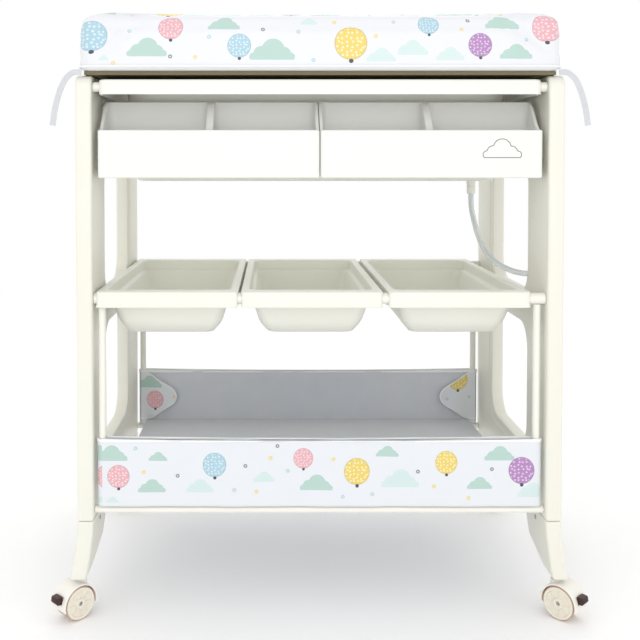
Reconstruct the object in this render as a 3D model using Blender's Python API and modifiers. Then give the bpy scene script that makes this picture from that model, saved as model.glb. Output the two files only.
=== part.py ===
"""Bath and changing station: two moulded side frames on castors, a bath tub with a
hinged changing mat over it, two pull-off trays, three hanging bins and a low fabric basket.

Metres, +Z up. The origin is on the floor under the middle of the station, X runs to its
right and the front faces -Y. Depths are measured back from the front face of the legs.
"""

import math

import bpy
import bmesh
from mathutils import Matrix, Vector

# ---------------------------------------------------------------- driving dimensions
GAP = 0.0003                # left between pieces that touch
FRAME_DEPTH = 0.490         # front face of the front legs to rear face of the rear legs
FRONT_Y = -FRAME_DEPTH / 2
INNER_X = 0.366             # inner face of a side frame
FRAME_THICK = 0.026
OUTER_X = INNER_X + FRAME_THICK
LEG_DEPTH = 0.122
FRAME_TOP = 0.883
FRAME_BOTTOM = 0.162        # seam between side frame and feet
FRAME_CORNER = 0.018        # radius of the upper corners, seen from the side
FRAME_EDGE = 0.003
UPPER_WINDOW = (0.515, 0.748)
LOWER_WINDOW = (0.243, 0.460)
WINDOW_RADIUS = 0.045

FOOT_BOTTOM = 0.066
FOOT_FLARE = 0.013          # how far a foot bends outwards on its way down
FOOT_SLICES = 7
FOOT_TOE = 0.048            # depth of the flat under a foot
FOOT_HEEL_Z = 0.096         # where the heel starts to slope to the toe

TUBE_R = 0.009              # shelf tubes
RAIL_R = 0.006              # basket rails and posts
TUB_TUBE_R = 0.008
TRAY_REST_R = 0.004
TUBE_END = INNER_X - GAP
TUB_TUBE_Z = 0.8647
SHELF_TUBE_Z = 0.5227
BASKET_RAIL_Z = 0.1775
FRONT_LINE = 0.0155         # depth of the front tubes' centre line
POST_X = 0.3526

TUB_TOP = 0.876
TUB_LIP = 0.852             # lower edge of the tub's turned-down rim
TUB_HALF_X = 0.355
TUB_BOTTOM = 0.713
TUB_LEVELS = (              # the rim, then the body down to its floor: half width, inset in depth, height, radius
    (TUB_HALF_X, 0.0, TUB_LIP, 0.012), (TUB_HALF_X, 0.0, TUB_TOP, 0.012), (0.330, 0.098, TUB_TOP, 0.050),
    (0.328, 0.104, 0.856, 0.050), (0.325, 0.118, 0.763, 0.050), (0.321, 0.132, 0.722, 0.040),
    (0.313, 0.140, TUB_BOTTOM, 0.032),
)
WALL = 0.003
OUTLET = (0.296, 0.246)     # across, depth
OUTLET_R = 0.0085
DRAIN_BORE_R = 0.0055
DRAIN_FLANGE = (0.014, 0.002)  # radius, thickness
PLUG_R = 0.009
PLUG_HEAD = 0.004
PLUG_DEPTH = 0.009
SPOUT_END = 0.6835

TRAY_TOP_FRONT = 0.795
TRAY_TOP_REAR = 0.844
TRAY_BOTTOM = 0.718
TRAY_DEPTH = 0.080
TRAY_HALF_X = 0.3565
TRAY_WALL = 0.006
TRAY_RAIL = (0.092, 0.834)  # depth, height of the tube that the trays clip on
TRAY_REST = (0.0875, 0.735)
TRAY_INNER_X = 0.0005       # half the gap between the two trays
TRAY_RISE = (0.010, 0.074)  # depths between which the side walls climb
TRAY_DIVIDER = 0.012
JAW_OFFSET = 0.110          # from a tray's middle to its two jaws
JAW_WIDTH = 0.014

BIN_TOP = 0.535
BIN_SKIRT = 0.509
BIN_BOTTOM = 0.461
BIN_WIDTH = 0.231
BIN_DEPTH = (0.002, FRAME_DEPTH - 0.002)
BIN_LEVELS = (              # the rim, then the pocket: inset across, inset in depth, height, radius
    (0.0, 0.0, BIN_SKIRT, 0.008), (0.0, 0.0, BIN_TOP, 0.008), (0.014, 0.028, BIN_TOP, 0.014),
    (0.015, 0.029, 0.517, 0.014), (0.022, 0.036, 0.514, 0.014), (0.032, 0.050, 0.477, 0.018),
    (0.046, 0.064, BIN_BOTTOM, 0.012),
)
BIN_CENTRES = (("left", -0.2465), ("middle", -0.0125), ("right", 0.2255))

BASKET_BOTTOM = 0.1845
BASKET_TOP = 0.294
BASKET_HALF_X = 0.3602
CLOTH = 0.003
FLOOR_Z = 0.190
FLOOR_THICK = 0.004
EAR_TIP = (0.270, 0.243)    # across, height of the flaps' points
EAR_LOW, EAR_HIGH = 0.196, 0.292
EAR_TIP_R = 0.012

BOARD_HALF_X = 0.378
BOARD_THICK = 0.006
BOARD_Z = FRAME_TOP + GAP
MAT_HALF_X = 0.386
MAT_TOP = 0.981
MAT_FRONT = -0.010          # depth
MAT_REAR = 0.500
MAT_BOTTOM = BOARD_Z + BOARD_THICK + GAP
MAT_LEVELS = (              # inset, height, radius
    (0.010, MAT_BOTTOM, 0.020), (0.0, MAT_BOTTOM + 0.010, 0.028), (0.0, MAT_TOP - 0.010, 0.028),
    (0.010, MAT_TOP, 0.022), (0.085, MAT_TOP - 0.004, 0.030), (0.125, MAT_TOP - 0.030, 0.040),
)
BOARD_FRONT = 0.006         # depth
HINGE = (0.4995, 0.884)     # depth, height of the mat's hinge line
HINGE_PIN_R = 0.0025
KNUCKLE_R = 0.006
KNUCKLE_START = 0.334
HINGE_PLATE_LOW = FRAME_TOP - 0.052
HINGE_PLATE_THICK = 0.0025

WHEEL_R = 0.027
WHEEL_WIDTH = 0.012
WHEEL_INNER = 0.007         # castor centre plane to a wheel's inner face
HOOD_R = 0.031
HOOD_HALF = 0.0195
TRAIL = 0.013               # swivel axis to axle
AXLE_R = 0.003
STEM_R = 0.004
STEM_X = 0.3905
STEM_INSET = 0.024          # swivel axis behind the front of the foot
STEM_LENGTH = 0.024         # of the stem inside the foot
STEM_FOOT_Z = 0.0325
COLLAR_R = 0.0075
COLLAR_Z = 0.0592
RIM_GAP = 0.0016            # between a wheel and its fender
WEB_R = 0.012
SLOT_Z = (0.031, 0.0465)    # the brake lever's slot in the hood

HOSE_R = 0.005
HOSE_X = OUTER_X + 0.0076   # where the hose stands outside the right frame
HOSE_CLIP_DEPTH = 0.088
HOSE_CLIP_Z = 0.770
HOSE_END = 0.800
STOPPER_LENGTH = 0.016
CLIP_HEIGHT = 0.012
CLIP_WALL = 0.0025
HOSE_ROUTE = (              # across, depth, height
    (0.2960, 0.246, 0.672), (0.2965, 0.242, 0.655), (0.2990, 0.230, 0.632), (0.3035, 0.214, 0.606),
    (0.3110, 0.198, 0.584), (0.3240, 0.180, 0.565), (0.3400, 0.162, 0.554), (0.3600, 0.146, 0.548),
    (0.3800, 0.138, 0.548), (0.3950, 0.134, 0.558), (0.4000, 0.126, 0.580), (0.3998, 0.112, 0.620),
    (HOSE_X, 0.096, 0.680), (HOSE_X, 0.088, 0.730), (HOSE_X, 0.088, 0.770),
)

TIE_WIDTH = 0.0095
TIE_THICK = 0.0012
TIE_DEPTH = -0.002
TIE_ROUTE = (               # across, height
    (0.3800, 0.8865), (0.3870, 0.8868), (0.3960, 0.8850), (0.4070, 0.8740), (0.4160, 0.8540),
    (0.4225, 0.8300), (0.4270, 0.8020),
)

SIDES = (("left", -1), ("right", 1))
ENDS = (("front", 1), ("rear", -1))


def at_depth(depth):
    """World Y of a depth measured back from the front legs."""
    return FRONT_Y + depth


# ---------------------------------------------------------------- scene and materials
for old in list(bpy.data.objects):
    bpy.data.objects.remove(old, do_unlink=True)

parts = bpy.data.collections.new("changing_table")
cutters = bpy.data.collections.new("cutters")
for group in (parts, cutters):
    bpy.context.scene.collection.children.link(group)


def material(name, colour, roughness, metallic=0.0):
    mat = bpy.data.materials.new(name)
    mat.use_nodes = True
    shader = mat.node_tree.nodes["Principled BSDF"]
    shader.inputs["Base Color"].default_value = (*colour, 1.0)
    shader.inputs["Roughness"].default_value = roughness
    shader.inputs["Metallic"].default_value = metallic
    return mat


WARM_WHITE = material("warm_white_moulding", (0.86, 0.85, 0.79), 0.40)
TUB_WHITE = material("tub_white", (0.88, 0.88, 0.85), 0.28)
BIN_WHITE = material("bin_white", (0.84, 0.83, 0.77), 0.38)
TUBE_WHITE = material("painted_tube", (0.80, 0.79, 0.73), 0.45)
PRINTED = material("printed_vinyl", (0.82, 0.86, 0.88), 0.50)
BACKING = material("basket_cloth", (0.75, 0.77, 0.80), 0.80)
TAPE = material("cotton_tape", (0.80, 0.81, 0.83), 0.85)
BOARD = material("hardboard", (0.45, 0.36, 0.24), 0.70)
STEEL = material("zinc_steel", (0.55, 0.56, 0.58), 0.35, 1.0)
WHEEL = material("castor_nylon", (0.80, 0.78, 0.70), 0.35)
BRAKE = material("brown_lever", (0.045, 0.010, 0.010), 0.40)
HOSE = material("clear_hose", (0.85, 0.88, 0.90), 0.15)
RUBBER = material("white_rubber", (0.75, 0.75, 0.72), 0.70)


# ---------------------------------------------------------------- modelling helpers
def add_object(name, mesh, mat=None, group=parts):
    obj = bpy.data.objects.new(name, mesh)
    group.objects.link(obj)
    if mat:
        obj.data.materials.append(mat)
    if group is cutters:
        obj.hide_render = True
        obj.display_type = "WIRE"
    return obj


def mesh_from(bm, name):
    """Turns a closed bmesh into a mesh with its faces pointing out."""
    bmesh.ops.recalc_face_normals(bm, faces=bm.faces)
    if bm.calc_volume(signed=True) < 0:
        bmesh.ops.reverse_faces(bm, faces=bm.faces)
    mesh = bpy.data.meshes.new(name)
    bm.to_mesh(mesh)
    bm.free()
    return mesh


def box(name, low, high, mat=None, group=parts, bevel=0.0, segments=2):
    """A block between two corners, with rounded edges where a bevel is given."""
    bm = bmesh.new()
    bmesh.ops.create_cube(bm, size=1.0)
    size = Vector(high) - Vector(low)
    middle = (Vector(high) + Vector(low)) / 2
    bm.transform(Matrix.Translation(middle) @ Matrix.Diagonal((*size, 1.0)))
    obj = add_object(name, mesh_from(bm, name), mat, group)
    if bevel:
        round_edges(obj, bevel, segments)
    return obj


def round_edges(obj, width, segments=2, angle=35.0):
    mod = obj.modifiers.new("rounded_edges", "BEVEL")
    mod.width = width
    mod.segments = segments
    mod.limit_method = "ANGLE"
    mod.angle_limit = math.radians(angle)


def rod(name, start, end, radius, mat=None, group=parts, sides=16):
    """A round bar from start to end."""
    start, end = Vector(start), Vector(end)
    bm = bmesh.new()
    bmesh.ops.create_cone(bm, cap_ends=True, segments=sides, radius1=radius, radius2=radius,
                          depth=(end - start).length)
    turn = Vector((0, 0, 1)).rotation_difference(end - start).to_matrix().to_4x4()
    bm.transform(Matrix.Translation((start + end) / 2) @ turn)
    obj = add_object(name, mesh_from(bm, name), mat, group)
    shade(obj)
    return obj


def shade(obj, angle=40.0):
    obj.data.shade_smooth()
    obj.data.set_sharp_from_angle(angle=math.radians(angle))


def arc(centre, radius, start, end, steps):
    """Points of an arc, angles in degrees, both ends included."""
    points = []
    for i in range(steps + 1):
        a = math.radians(start + (end - start) * i / steps)
        points.append((centre[0] + radius * math.cos(a), centre[1] + radius * math.sin(a)))
    return points


def rounded_rectangle(low, high, radius, steps=5):
    """Corner arcs of a rectangle, counter-clockwise."""
    (u0, v0), (u1, v1) = low, high
    corners = ((u1 - radius, v1 - radius, 0), (u0 + radius, v1 - radius, 90),
               (u0 + radius, v0 + radius, 180), (u1 - radius, v0 + radius, 270))
    points = []
    for u, v, start in corners:
        points += arc((u, v), radius, start, start + 90, steps)
    return points


def plate(name, outlines, thickness, placing, mat=None, group=parts):
    """A flat shape from closed outlines (the inner ones are holes), as a welded mesh.
    placing turns its own x, y and thickness direction into the world's."""
    curve = bpy.data.curves.new(name + "_outline", "CURVE")
    curve.dimensions = "2D"
    curve.fill_mode = "BOTH"
    curve.extrude = thickness / 2
    for outline in outlines:
        spline = curve.splines.new("POLY")
        spline.points.add(len(outline) - 1)
        for point, (u, v) in zip(spline.points, outline):
            point.co = (u, v, 0.0, 1.0)
        spline.use_cyclic_u = True
    drawn = bpy.data.objects.new(name + "_drawn", curve)
    parts.objects.link(drawn)
    bpy.context.view_layer.update()
    shape = bpy.data.meshes.new_from_object(drawn.evaluated_get(bpy.context.evaluated_depsgraph_get()))
    bpy.data.objects.remove(drawn, do_unlink=True)
    bm = bmesh.new()
    bm.from_mesh(shape)
    bmesh.ops.remove_doubles(bm, verts=bm.verts, dist=0.00001)
    bm.transform(placing)
    return add_object(name, mesh_from(bm, name), mat, group)


SIDE_VIEW = Matrix(((0, 0, 1, 0), (1, 0, 0, 0), (0, 1, 0, 0), (0, 0, 0, 1)))   # x->Y, y->Z
FRONT_VIEW = Matrix(((1, 0, 0, 0), (0, 0, -1, 0), (0, 1, 0, 0), (0, 0, 0, 1)))  # x->X, y->Z


def loft(name, sections, mat=None, group=parts, cap_start=False, cap_end=False, wall=0.0):
    """Skin through sections with equal numbers of points. An open skin gets a wall."""
    bm = bmesh.new()
    rings = [[bm.verts.new(point) for point in section] for section in sections]
    count = len(rings[0])
    for here, following in zip(rings, rings[1:]):
        for i in range(count):
            j = (i + 1) % count
            bm.faces.new((here[i], here[j], following[j], following[i]))
    if cap_start:
        bm.faces.new(reversed(rings[0]))
    if cap_end:
        bm.faces.new(rings[-1])
    mesh = bpy.data.meshes.new(name)
    bm.to_mesh(mesh)
    bm.free()
    obj = add_object(name, mesh, mat, group)
    if wall:
        solid = obj.modifiers.new("wall", "SOLIDIFY")
        solid.thickness = wall
        solid.offset = -1.0
        solid.use_even_offset = True
    shade(obj)
    return obj


def turned(name, profile, centre, mat=None, group=parts, steps=16, axis=(0, 0, 1)):
    """A profile of (radius, height) turned about an axis through centre. A profile that
    starts and ends on the axis is solid; any other is closed into a ring."""
    bm = bmesh.new()
    verts = [bm.verts.new((r, 0.0, h)) for r, h in profile]
    edges = list(zip(verts, verts[1:]))
    if profile[0][0] > 0:
        edges.append((verts[-1], verts[0]))
    for pair in edges:
        bm.edges.new(pair)
    mesh = bpy.data.meshes.new(name)
    bm.to_mesh(mesh)
    bm.free()
    obj = add_object(name, mesh, mat, group)
    obj.location = centre
    obj.rotation_mode = "QUATERNION"
    obj.rotation_quaternion = Vector((0, 0, 1)).rotation_difference(Vector(axis))
    screw = obj.modifiers.new("turned", "SCREW")
    screw.steps = steps
    screw.render_steps = steps
    screw.use_merge_vertices = True
    screw.merge_threshold = 0.00001
    screw.use_smooth_shade = False
    return obj


def ring(half_x, depth0, depth1, z, radius, centre_x=0.0, steps=4):
    """A level rounded rectangle as a loft section."""
    flat = rounded_rectangle((centre_x - half_x, at_depth(depth0)),
                             (centre_x + half_x, at_depth(depth1)), radius, steps)
    return [(x, y, z) for x, y in flat]


def boolean(target, other, operation):
    mod = target.modifiers.new(operation.lower(), "BOOLEAN")
    mod.operation = operation
    mod.solver = "EXACT"
    mod.object = other


def cut(target, cutter):
    boolean(target, cutter, "DIFFERENCE")


def join(target, piece):
    boolean(target, piece, "UNION")


def notch_for_tubes(target, name, half_x, centre_x, radius, height):
    """Opens the end walls of a turned-down rim from below where the tubes pass."""
    for end, forward in ENDS:
        line = forward * at_depth(FRONT_LINE)
        reach = radius + GAP
        opening = box(f"{name}_notch_{end}", (centre_x - half_x - 0.01, line - reach, height - 0.040),
                      (centre_x + half_x + 0.01, line + reach, height + reach - 0.0001), group=cutters)
        cut(target, opening)


def smooth_route(points, spacing):
    """A Catmull-Rom curve through points, sampled about every spacing."""
    points = [Vector(point) for point in points]
    ends = [2 * points[0] - points[1]] + points + [2 * points[-1] - points[-2]]
    route = []
    for i in range(1, len(ends) - 2):
        a, b, c, d = ends[i - 1:i + 3]
        steps = max(1, round((c - b).length / spacing))
        for k in range(steps):
            t = k / steps
            route.append(0.5 * (2 * b + (c - a) * t + (2 * a - 5 * b + 4 * c - d) * t ** 2
                                + (3 * b - a - 3 * c + d) * t ** 3))
    return route + [points[-1]]


def wire(name, points, radius, mat):
    curve = bpy.data.curves.new(name, "CURVE")
    curve.dimensions = "3D"
    curve.bevel_depth = radius
    curve.bevel_resolution = 2
    curve.use_fill_caps = True
    spline = curve.splines.new("POLY")
    spline.points.add(len(points) - 1)
    for target, point in zip(spline.points, points):
        target.co = (*point, 1.0)
    obj = bpy.data.objects.new(name, curve)
    parts.objects.link(obj)
    curve.materials.append(mat)
    return obj


def hang_on(pivot_name, location, pieces):
    """Parents pieces to an empty on a joint's axis without moving them."""
    pivot = bpy.data.objects.new(pivot_name, None)
    pivot.location = location
    parts.objects.link(pivot)
    bpy.context.view_layer.update()
    for piece in pieces:
        piece.parent = pivot
        piece.matrix_parent_inverse = pivot.matrix_world.inverted()
    return pivot


# ---------------------------------------------------------------- side frames and feet
def side_frame(side, sign):
    front, rear = at_depth(0), at_depth(FRAME_DEPTH)
    top = [p for p in rounded_rectangle((front, FRAME_BOTTOM), (rear, FRAME_TOP), FRAME_CORNER, 4)
           if p[1] >= FRAME_TOP - FRAME_CORNER - GAP]
    outline = top + [(front, FRAME_BOTTOM), (rear, FRAME_BOTTOM)]
    windows = [rounded_rectangle((front + LEG_DEPTH, low), (rear - LEG_DEPTH, high), WINDOW_RADIUS)
               for low, high in (UPPER_WINDOW, LOWER_WINDOW)]
    centre = Matrix.Translation((sign * (INNER_X + OUTER_X) / 2, 0, 0))
    frame = plate("side_frame_" + side, [outline] + windows, FRAME_THICK, centre @ SIDE_VIEW, WARM_WHITE)
    round_edges(frame, FRAME_EDGE, 1)


def foot(end, forward, side, sign):
    """A foot's side outline, pressed out in slices that step outwards on the way down."""
    top = FRAME_BOTTOM - GAP
    outline = [(0, FOOT_BOTTOM), (FOOT_TOE, FOOT_BOTTOM), (LEG_DEPTH, FOOT_HEEL_Z), (LEG_DEPTH, top), (0, top)]
    outline = [(forward * at_depth(d), z) for d, z in outline]
    centre = Matrix.Translation((sign * (INNER_X + OUTER_X) / 2, 0, 0))
    piece = plate(f"foot_{end}_{side}", [outline], FRAME_THICK, centre @ SIDE_VIEW, WARM_WHITE)
    bm = bmesh.new()
    bm.from_mesh(piece.data)
    for i in range(1, FOOT_SLICES):
        height = FOOT_BOTTOM + (top - FOOT_BOTTOM) * i / FOOT_SLICES
        bmesh.ops.bisect_plane(bm, geom=bm.verts[:] + bm.edges[:] + bm.faces[:], dist=0.00001,
                               plane_co=(0, 0, height), plane_no=(0, 0, 1))
    for vert in bm.verts:
        drop = (top - vert.co.z) / (top - FOOT_BOTTOM)
        vert.co.x += sign * FOOT_FLARE * drop ** 1.6
    bm.to_mesh(piece.data)
    bm.free()
    stem_x, stem_y = sign * STEM_X, forward * at_depth(STEM_INSET)
    socket = rod(f"socket_{end}_{side}", (stem_x, stem_y, FOOT_BOTTOM - 0.01),
                 (stem_x, stem_y, FOOT_BOTTOM + STEM_LENGTH + 0.002), STEM_R + GAP, group=cutters)
    cut(piece, socket)


for side_name, side_sign in SIDES:
    side_frame(side_name, side_sign)
    for end_name, end_sign in ENDS:
        foot(end_name, end_sign, side_name, side_sign)


# ---------------------------------------------------------------- cross tubes and basket posts
def cross_tube(name, depth, height, radius):
    rod(name, (-TUBE_END, at_depth(depth), height), (TUBE_END, at_depth(depth), height), radius, TUBE_WHITE)


REAR_LINE = FRAME_DEPTH - FRONT_LINE
for end_name, line in (("front", FRONT_LINE), ("rear", REAR_LINE)):
    cross_tube(f"tub_tube_{end_name}", line, TUB_TUBE_Z, TUB_TUBE_R)
    cross_tube(f"shelf_tube_{end_name}", line, SHELF_TUBE_Z, TUBE_R)
    cross_tube(f"basket_rail_{end_name}", line, BASKET_RAIL_Z, RAIL_R)
    for side_name, side_sign in SIDES:
        foot_of_post = BASKET_RAIL_Z + RAIL_R + GAP
        head_of_post = SHELF_TUBE_Z - TUBE_R - GAP
        rod(f"basket_post_{end_name}_{side_name}", (side_sign * POST_X, at_depth(line), foot_of_post),
            (side_sign * POST_X, at_depth(line), head_of_post), RAIL_R, TUBE_WHITE, sides=12)
cross_tube("tray_rail", *TRAY_RAIL, RAIL_R)
cross_tube("tray_rest_rail", *TRAY_REST, TRAY_REST_R)


# ---------------------------------------------------------------- tub with its drain
def bath_tub():
    """Turned-down rim, flat flange, then a body that narrows to its floor."""
    sections = [ring(half_x, inset, FRAME_DEPTH - inset, z, radius) for half_x, inset, z, radius in TUB_LEVELS]
    tub = loft("bath_tub", sections, TUB_WHITE, cap_end=True, wall=WALL)
    notch_for_tubes(tub, "tub", TUB_HALF_X, 0.0, TUB_TUBE_R, TUB_TUBE_Z)
    return tub


def drain_fittings(tub):
    """Flanged spout through the tub's floor, and the plug that closes it."""
    x, y = OUTLET[0], at_depth(OUTLET[1])
    hole = rod("drain_hole", (x, y, TUB_BOTTOM - 0.02), (x, y, TUB_BOTTOM + 0.02), OUTLET_R + GAP,
               group=cutters)
    cut(tub, hole)
    seat = TUB_BOTTOM + GAP
    flange_r, flange_top = DRAIN_FLANGE[0], seat + DRAIN_FLANGE[1]
    spout = [(DRAIN_BORE_R, flange_top), (flange_r, flange_top), (flange_r, seat), (OUTLET_R, seat),
             (OUTLET_R, SPOUT_END), (DRAIN_BORE_R, SPOUT_END)]
    turned("drain_spout", spout, (x, y, 0), WARM_WHITE)
    rim, shank = flange_top + GAP, DRAIN_BORE_R - GAP
    plug = [(0.0, rim + PLUG_HEAD), (PLUG_R - 0.001, rim + PLUG_HEAD), (PLUG_R, rim), (shank, rim),
            (shank - 0.0004, rim - PLUG_DEPTH), (0.0, rim - PLUG_DEPTH)]
    turned("drain_plug", plug, (x, y, 0), RUBBER)


drain_fittings(bath_tub())


# ---------------------------------------------------------------- drain hose and its clip
def drain_hose():
    """From the spout down over the shelf, out behind the front leg and up its outside."""
    x, y = OUTLET[0], at_depth(OUTLET[1])
    route = [(x, y, SPOUT_END - GAP)] + [(px, at_depth(d), z) for px, d, z in HOSE_ROUTE]
    route.append((HOSE_X, at_depth(HOSE_CLIP_DEPTH), HOSE_END))
    wire("drain_hose", smooth_route(route, 0.015), HOSE_R, HOSE)
    low = HOSE_END + GAP
    high = low + STOPPER_LENGTH
    stopper = [(0.0, high), (HOSE_R - 0.0005, high), (HOSE_R + 0.001, high - 0.003), (HOSE_R + 0.0005, low),
               (0.0, low)]
    turned("hose_stopper", stopper, (HOSE_X, at_depth(HOSE_CLIP_DEPTH), 0), RUBBER, steps=12)


def hose_clip():
    """A C-shaped clip on the leg's outer face that the hose presses into."""
    y = at_depth(HOSE_CLIP_DEPTH)
    inner, outer = HOSE_R + GAP, HOSE_R + CLIP_WALL
    jaw = arc((HOSE_X, y), outer, -140, 140, 14) + arc((HOSE_X, y), inner, 140, -140, 14)
    plate("hose_clip", [jaw], CLIP_HEIGHT, Matrix.Translation((0, 0, HOSE_CLIP_Z)), WARM_WHITE)


drain_hose()
hose_clip()


# ---------------------------------------------------------------- changing mat on its board
def changing_mat():
    """Foam with a raised border round a dished middle."""
    sections = [ring(MAT_HALF_X - inset, MAT_FRONT + inset, MAT_REAR - inset, z, radius)
                for inset, z, radius in MAT_LEVELS]
    return loft("changing_mat", sections, PRINTED, cap_start=True, cap_end=True)


def mat_board():
    """The board under the mat, with a knuckle near each end of its rear edge."""
    board = box("mat_board", (-BOARD_HALF_X, at_depth(BOARD_FRONT), BOARD_Z),
                (BOARD_HALF_X, at_depth(HINGE[0] - 0.002), BOARD_Z + BOARD_THICK), BOARD)
    depth, height = HINGE
    for side, sign in SIDES:
        start, end = sign * KNUCKLE_START, sign * (INNER_X - 0.001)
        knuckle = rod("board_knuckle_" + side, (start, at_depth(depth), height),
                      (end, at_depth(depth), height), KNUCKLE_R, group=cutters)
        join(board, knuckle)
    for side, sign in SIDES:
        # room beside the knuckle for the fixed half of the hinge
        relief = rod("board_relief_" + side, (sign * (INNER_X - 2 * GAP), at_depth(depth), height),
                     (sign * (OUTER_X + 0.008), at_depth(depth), height), KNUCKLE_R + 0.002, group=cutters)
        cut(board, relief)
        bore = rod("board_bore_" + side, (sign * (KNUCKLE_START - 0.004), at_depth(depth), height),
                   (sign * (OUTER_X + 0.008), at_depth(depth), height), HINGE_PIN_R + GAP, group=cutters, sides=12)
        cut(board, bore)
    return board


def mat_hinge(side, sign):
    """A plate on the back of the rear leg, with a pin that the board's knuckle turns on."""
    depth, height = HINGE
    rear = at_depth(FRAME_DEPTH) + GAP
    inner, outer = sign * INNER_X, sign * (OUTER_X - 0.002)
    low_x, high_x = min(inner, outer), max(inner, outer)
    bracket = box("mat_hinge_" + side, (low_x, rear, HINGE_PLATE_LOW),
                  (high_x, rear + HINGE_PLATE_THICK, height - 0.004), STEEL)
    web = box("hinge_web_" + side, (low_x, rear + 0.0005, height - 0.016),
              (high_x, at_depth(depth) + 0.001, height - 0.001), group=cutters)
    join(bracket, web)
    eye = rod("hinge_eye_" + side, (inner, at_depth(depth), height), (outer, at_depth(depth), height),
              KNUCKLE_R, group=cutters)
    join(bracket, eye)
    pin = rod("hinge_pin_" + side, (sign * (KNUCKLE_START + 0.001), at_depth(depth), height),
              (sign * (INNER_X + 0.005), at_depth(depth), height), HINGE_PIN_R, group=cutters, sides=12)
    join(bracket, pin)


def tie(side, sign):
    """A flat tape from under the mat's front corner, out over the leg and down."""
    middle = [Vector((sign * x, 0, z)) for x, z in TIE_ROUTE]
    route = smooth_route(middle, 0.008)
    left_edge, right_edge = [], []
    for i, point in enumerate(route):
        ahead = route[min(i + 1, len(route) - 1)] - route[max(i - 1, 0)]
        across = Vector((-ahead.z, 0, ahead.x)).normalized() * TIE_WIDTH / 2
        left_edge.append((point + across).xz)
        right_edge.append((point - across).xz)
    outline = left_edge + right_edge[::-1]
    placing = Matrix.Translation((0, at_depth(TIE_DEPTH), 0)) @ FRONT_VIEW
    return plate("tie_" + side, [[tuple(p) for p in outline]], TIE_THICK, placing, TAPE)


board = mat_board()
mat = changing_mat()
lifting = [board, mat]
for side_name, side_sign in SIDES:
    mat_hinge(side_name, side_sign)
    lifting.append(tie(side_name, side_sign))
hang_on("mat_hinge_line", (0, at_depth(HINGE[0]), HINGE[1]), lifting)


# ---------------------------------------------------------------- trays
def tray_profile():
    """Side outline: low front wall, S-shaped rise, high rear wall."""
    start, end = TRAY_RISE
    rise = []
    steps = 8
    for i in range(steps + 1):
        t = i / steps
        blend = t * t * (3 - 2 * t)
        rise.append((start + (end - start) * t, TRAY_TOP_FRONT + (TRAY_TOP_REAR - TRAY_TOP_FRONT) * blend))
    outline = [(TRAY_DEPTH, TRAY_BOTTOM), (TRAY_DEPTH, TRAY_TOP_REAR)] + rise[::-1]
    outline += [(0, TRAY_TOP_FRONT), (0, TRAY_BOTTOM)]
    return [(at_depth(d), z) for d, z in outline]


def tray(side, sign):
    """A two-pocket tray with spring jaws that clip on the tray rail."""
    inner, outer = sign * TRAY_INNER_X, sign * TRAY_HALF_X
    low_x, high_x = min(inner, outer), max(inner, outer)
    middle = (low_x + high_x) / 2
    placing = Matrix.Translation((middle, 0, 0)) @ SIDE_VIEW
    body = plate("tray_" + side, [tray_profile()], high_x - low_x, placing, WARM_WHITE)
    spans = ((low_x + TRAY_WALL, middle - TRAY_DIVIDER / 2), (middle + TRAY_DIVIDER / 2, high_x - TRAY_WALL))
    for i, (start, end) in enumerate(spans):
        pocket = box(f"pocket_{side}_{i}", (start, at_depth(TRAY_WALL), TRAY_BOTTOM + WALL),
                     (end, at_depth(TRAY_DEPTH - TRAY_WALL), TRAY_TOP_REAR + 0.02), group=cutters,
                     bevel=0.012, segments=2)
        cut(body, pocket)
    rail_y, rail_z = at_depth(TRAY_RAIL[0]), TRAY_RAIL[1]
    inner_r, outer_r = RAIL_R + GAP, RAIL_R + 0.002
    jaw = arc((rail_y, rail_z), outer_r, 88, 272, 12) + arc((rail_y, rail_z), inner_r, 272, 88, 12)
    for i, x in enumerate((middle - JAW_OFFSET, middle + JAW_OFFSET)):
        clip = plate(f"jaw_{side}_{i}", [jaw], JAW_WIDTH, Matrix.Translation((x, 0, 0)) @ SIDE_VIEW, group=cutters)
        join(body, clip)
        root = box(f"jaw_root_{side}_{i}", (x - JAW_WIDTH / 2, at_depth(TRAY_DEPTH - 0.002), rail_z - 0.004),
                   (x + JAW_WIDTH / 2, rail_y - inner_r - 0.0004, rail_z + 0.004), group=cutters)
        join(body, root)
    return body


for side_name, side_sign in SIDES:
    hang_on(f"tray_{side_name}_slide", (side_sign * TRAY_HALF_X / 2, at_depth(0), TRAY_BOTTOM),
            [tray(side_name, side_sign)])


# ---------------------------------------------------------------- bins
def storage_bin(label, centre):
    """A deep pocket hung by its turned-down rim on the two shelf tubes."""
    half, (front, rear) = BIN_WIDTH / 2, BIN_DEPTH
    sections = [ring(half - across, front + inset, rear - inset, z, radius, centre)
                for across, inset, z, radius in BIN_LEVELS]
    pocket = loft("bin_" + label, sections, BIN_WHITE, cap_end=True, wall=WALL)
    notch_for_tubes(pocket, "bin_" + label, half, centre, TUBE_R, SHELF_TUBE_Z)
    return pocket


for bin_label, bin_centre in BIN_CENTRES:
    hang_on(f"bin_{bin_label}_lift", (bin_centre, 0, BIN_SKIRT), [storage_bin(bin_label, bin_centre)])


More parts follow.
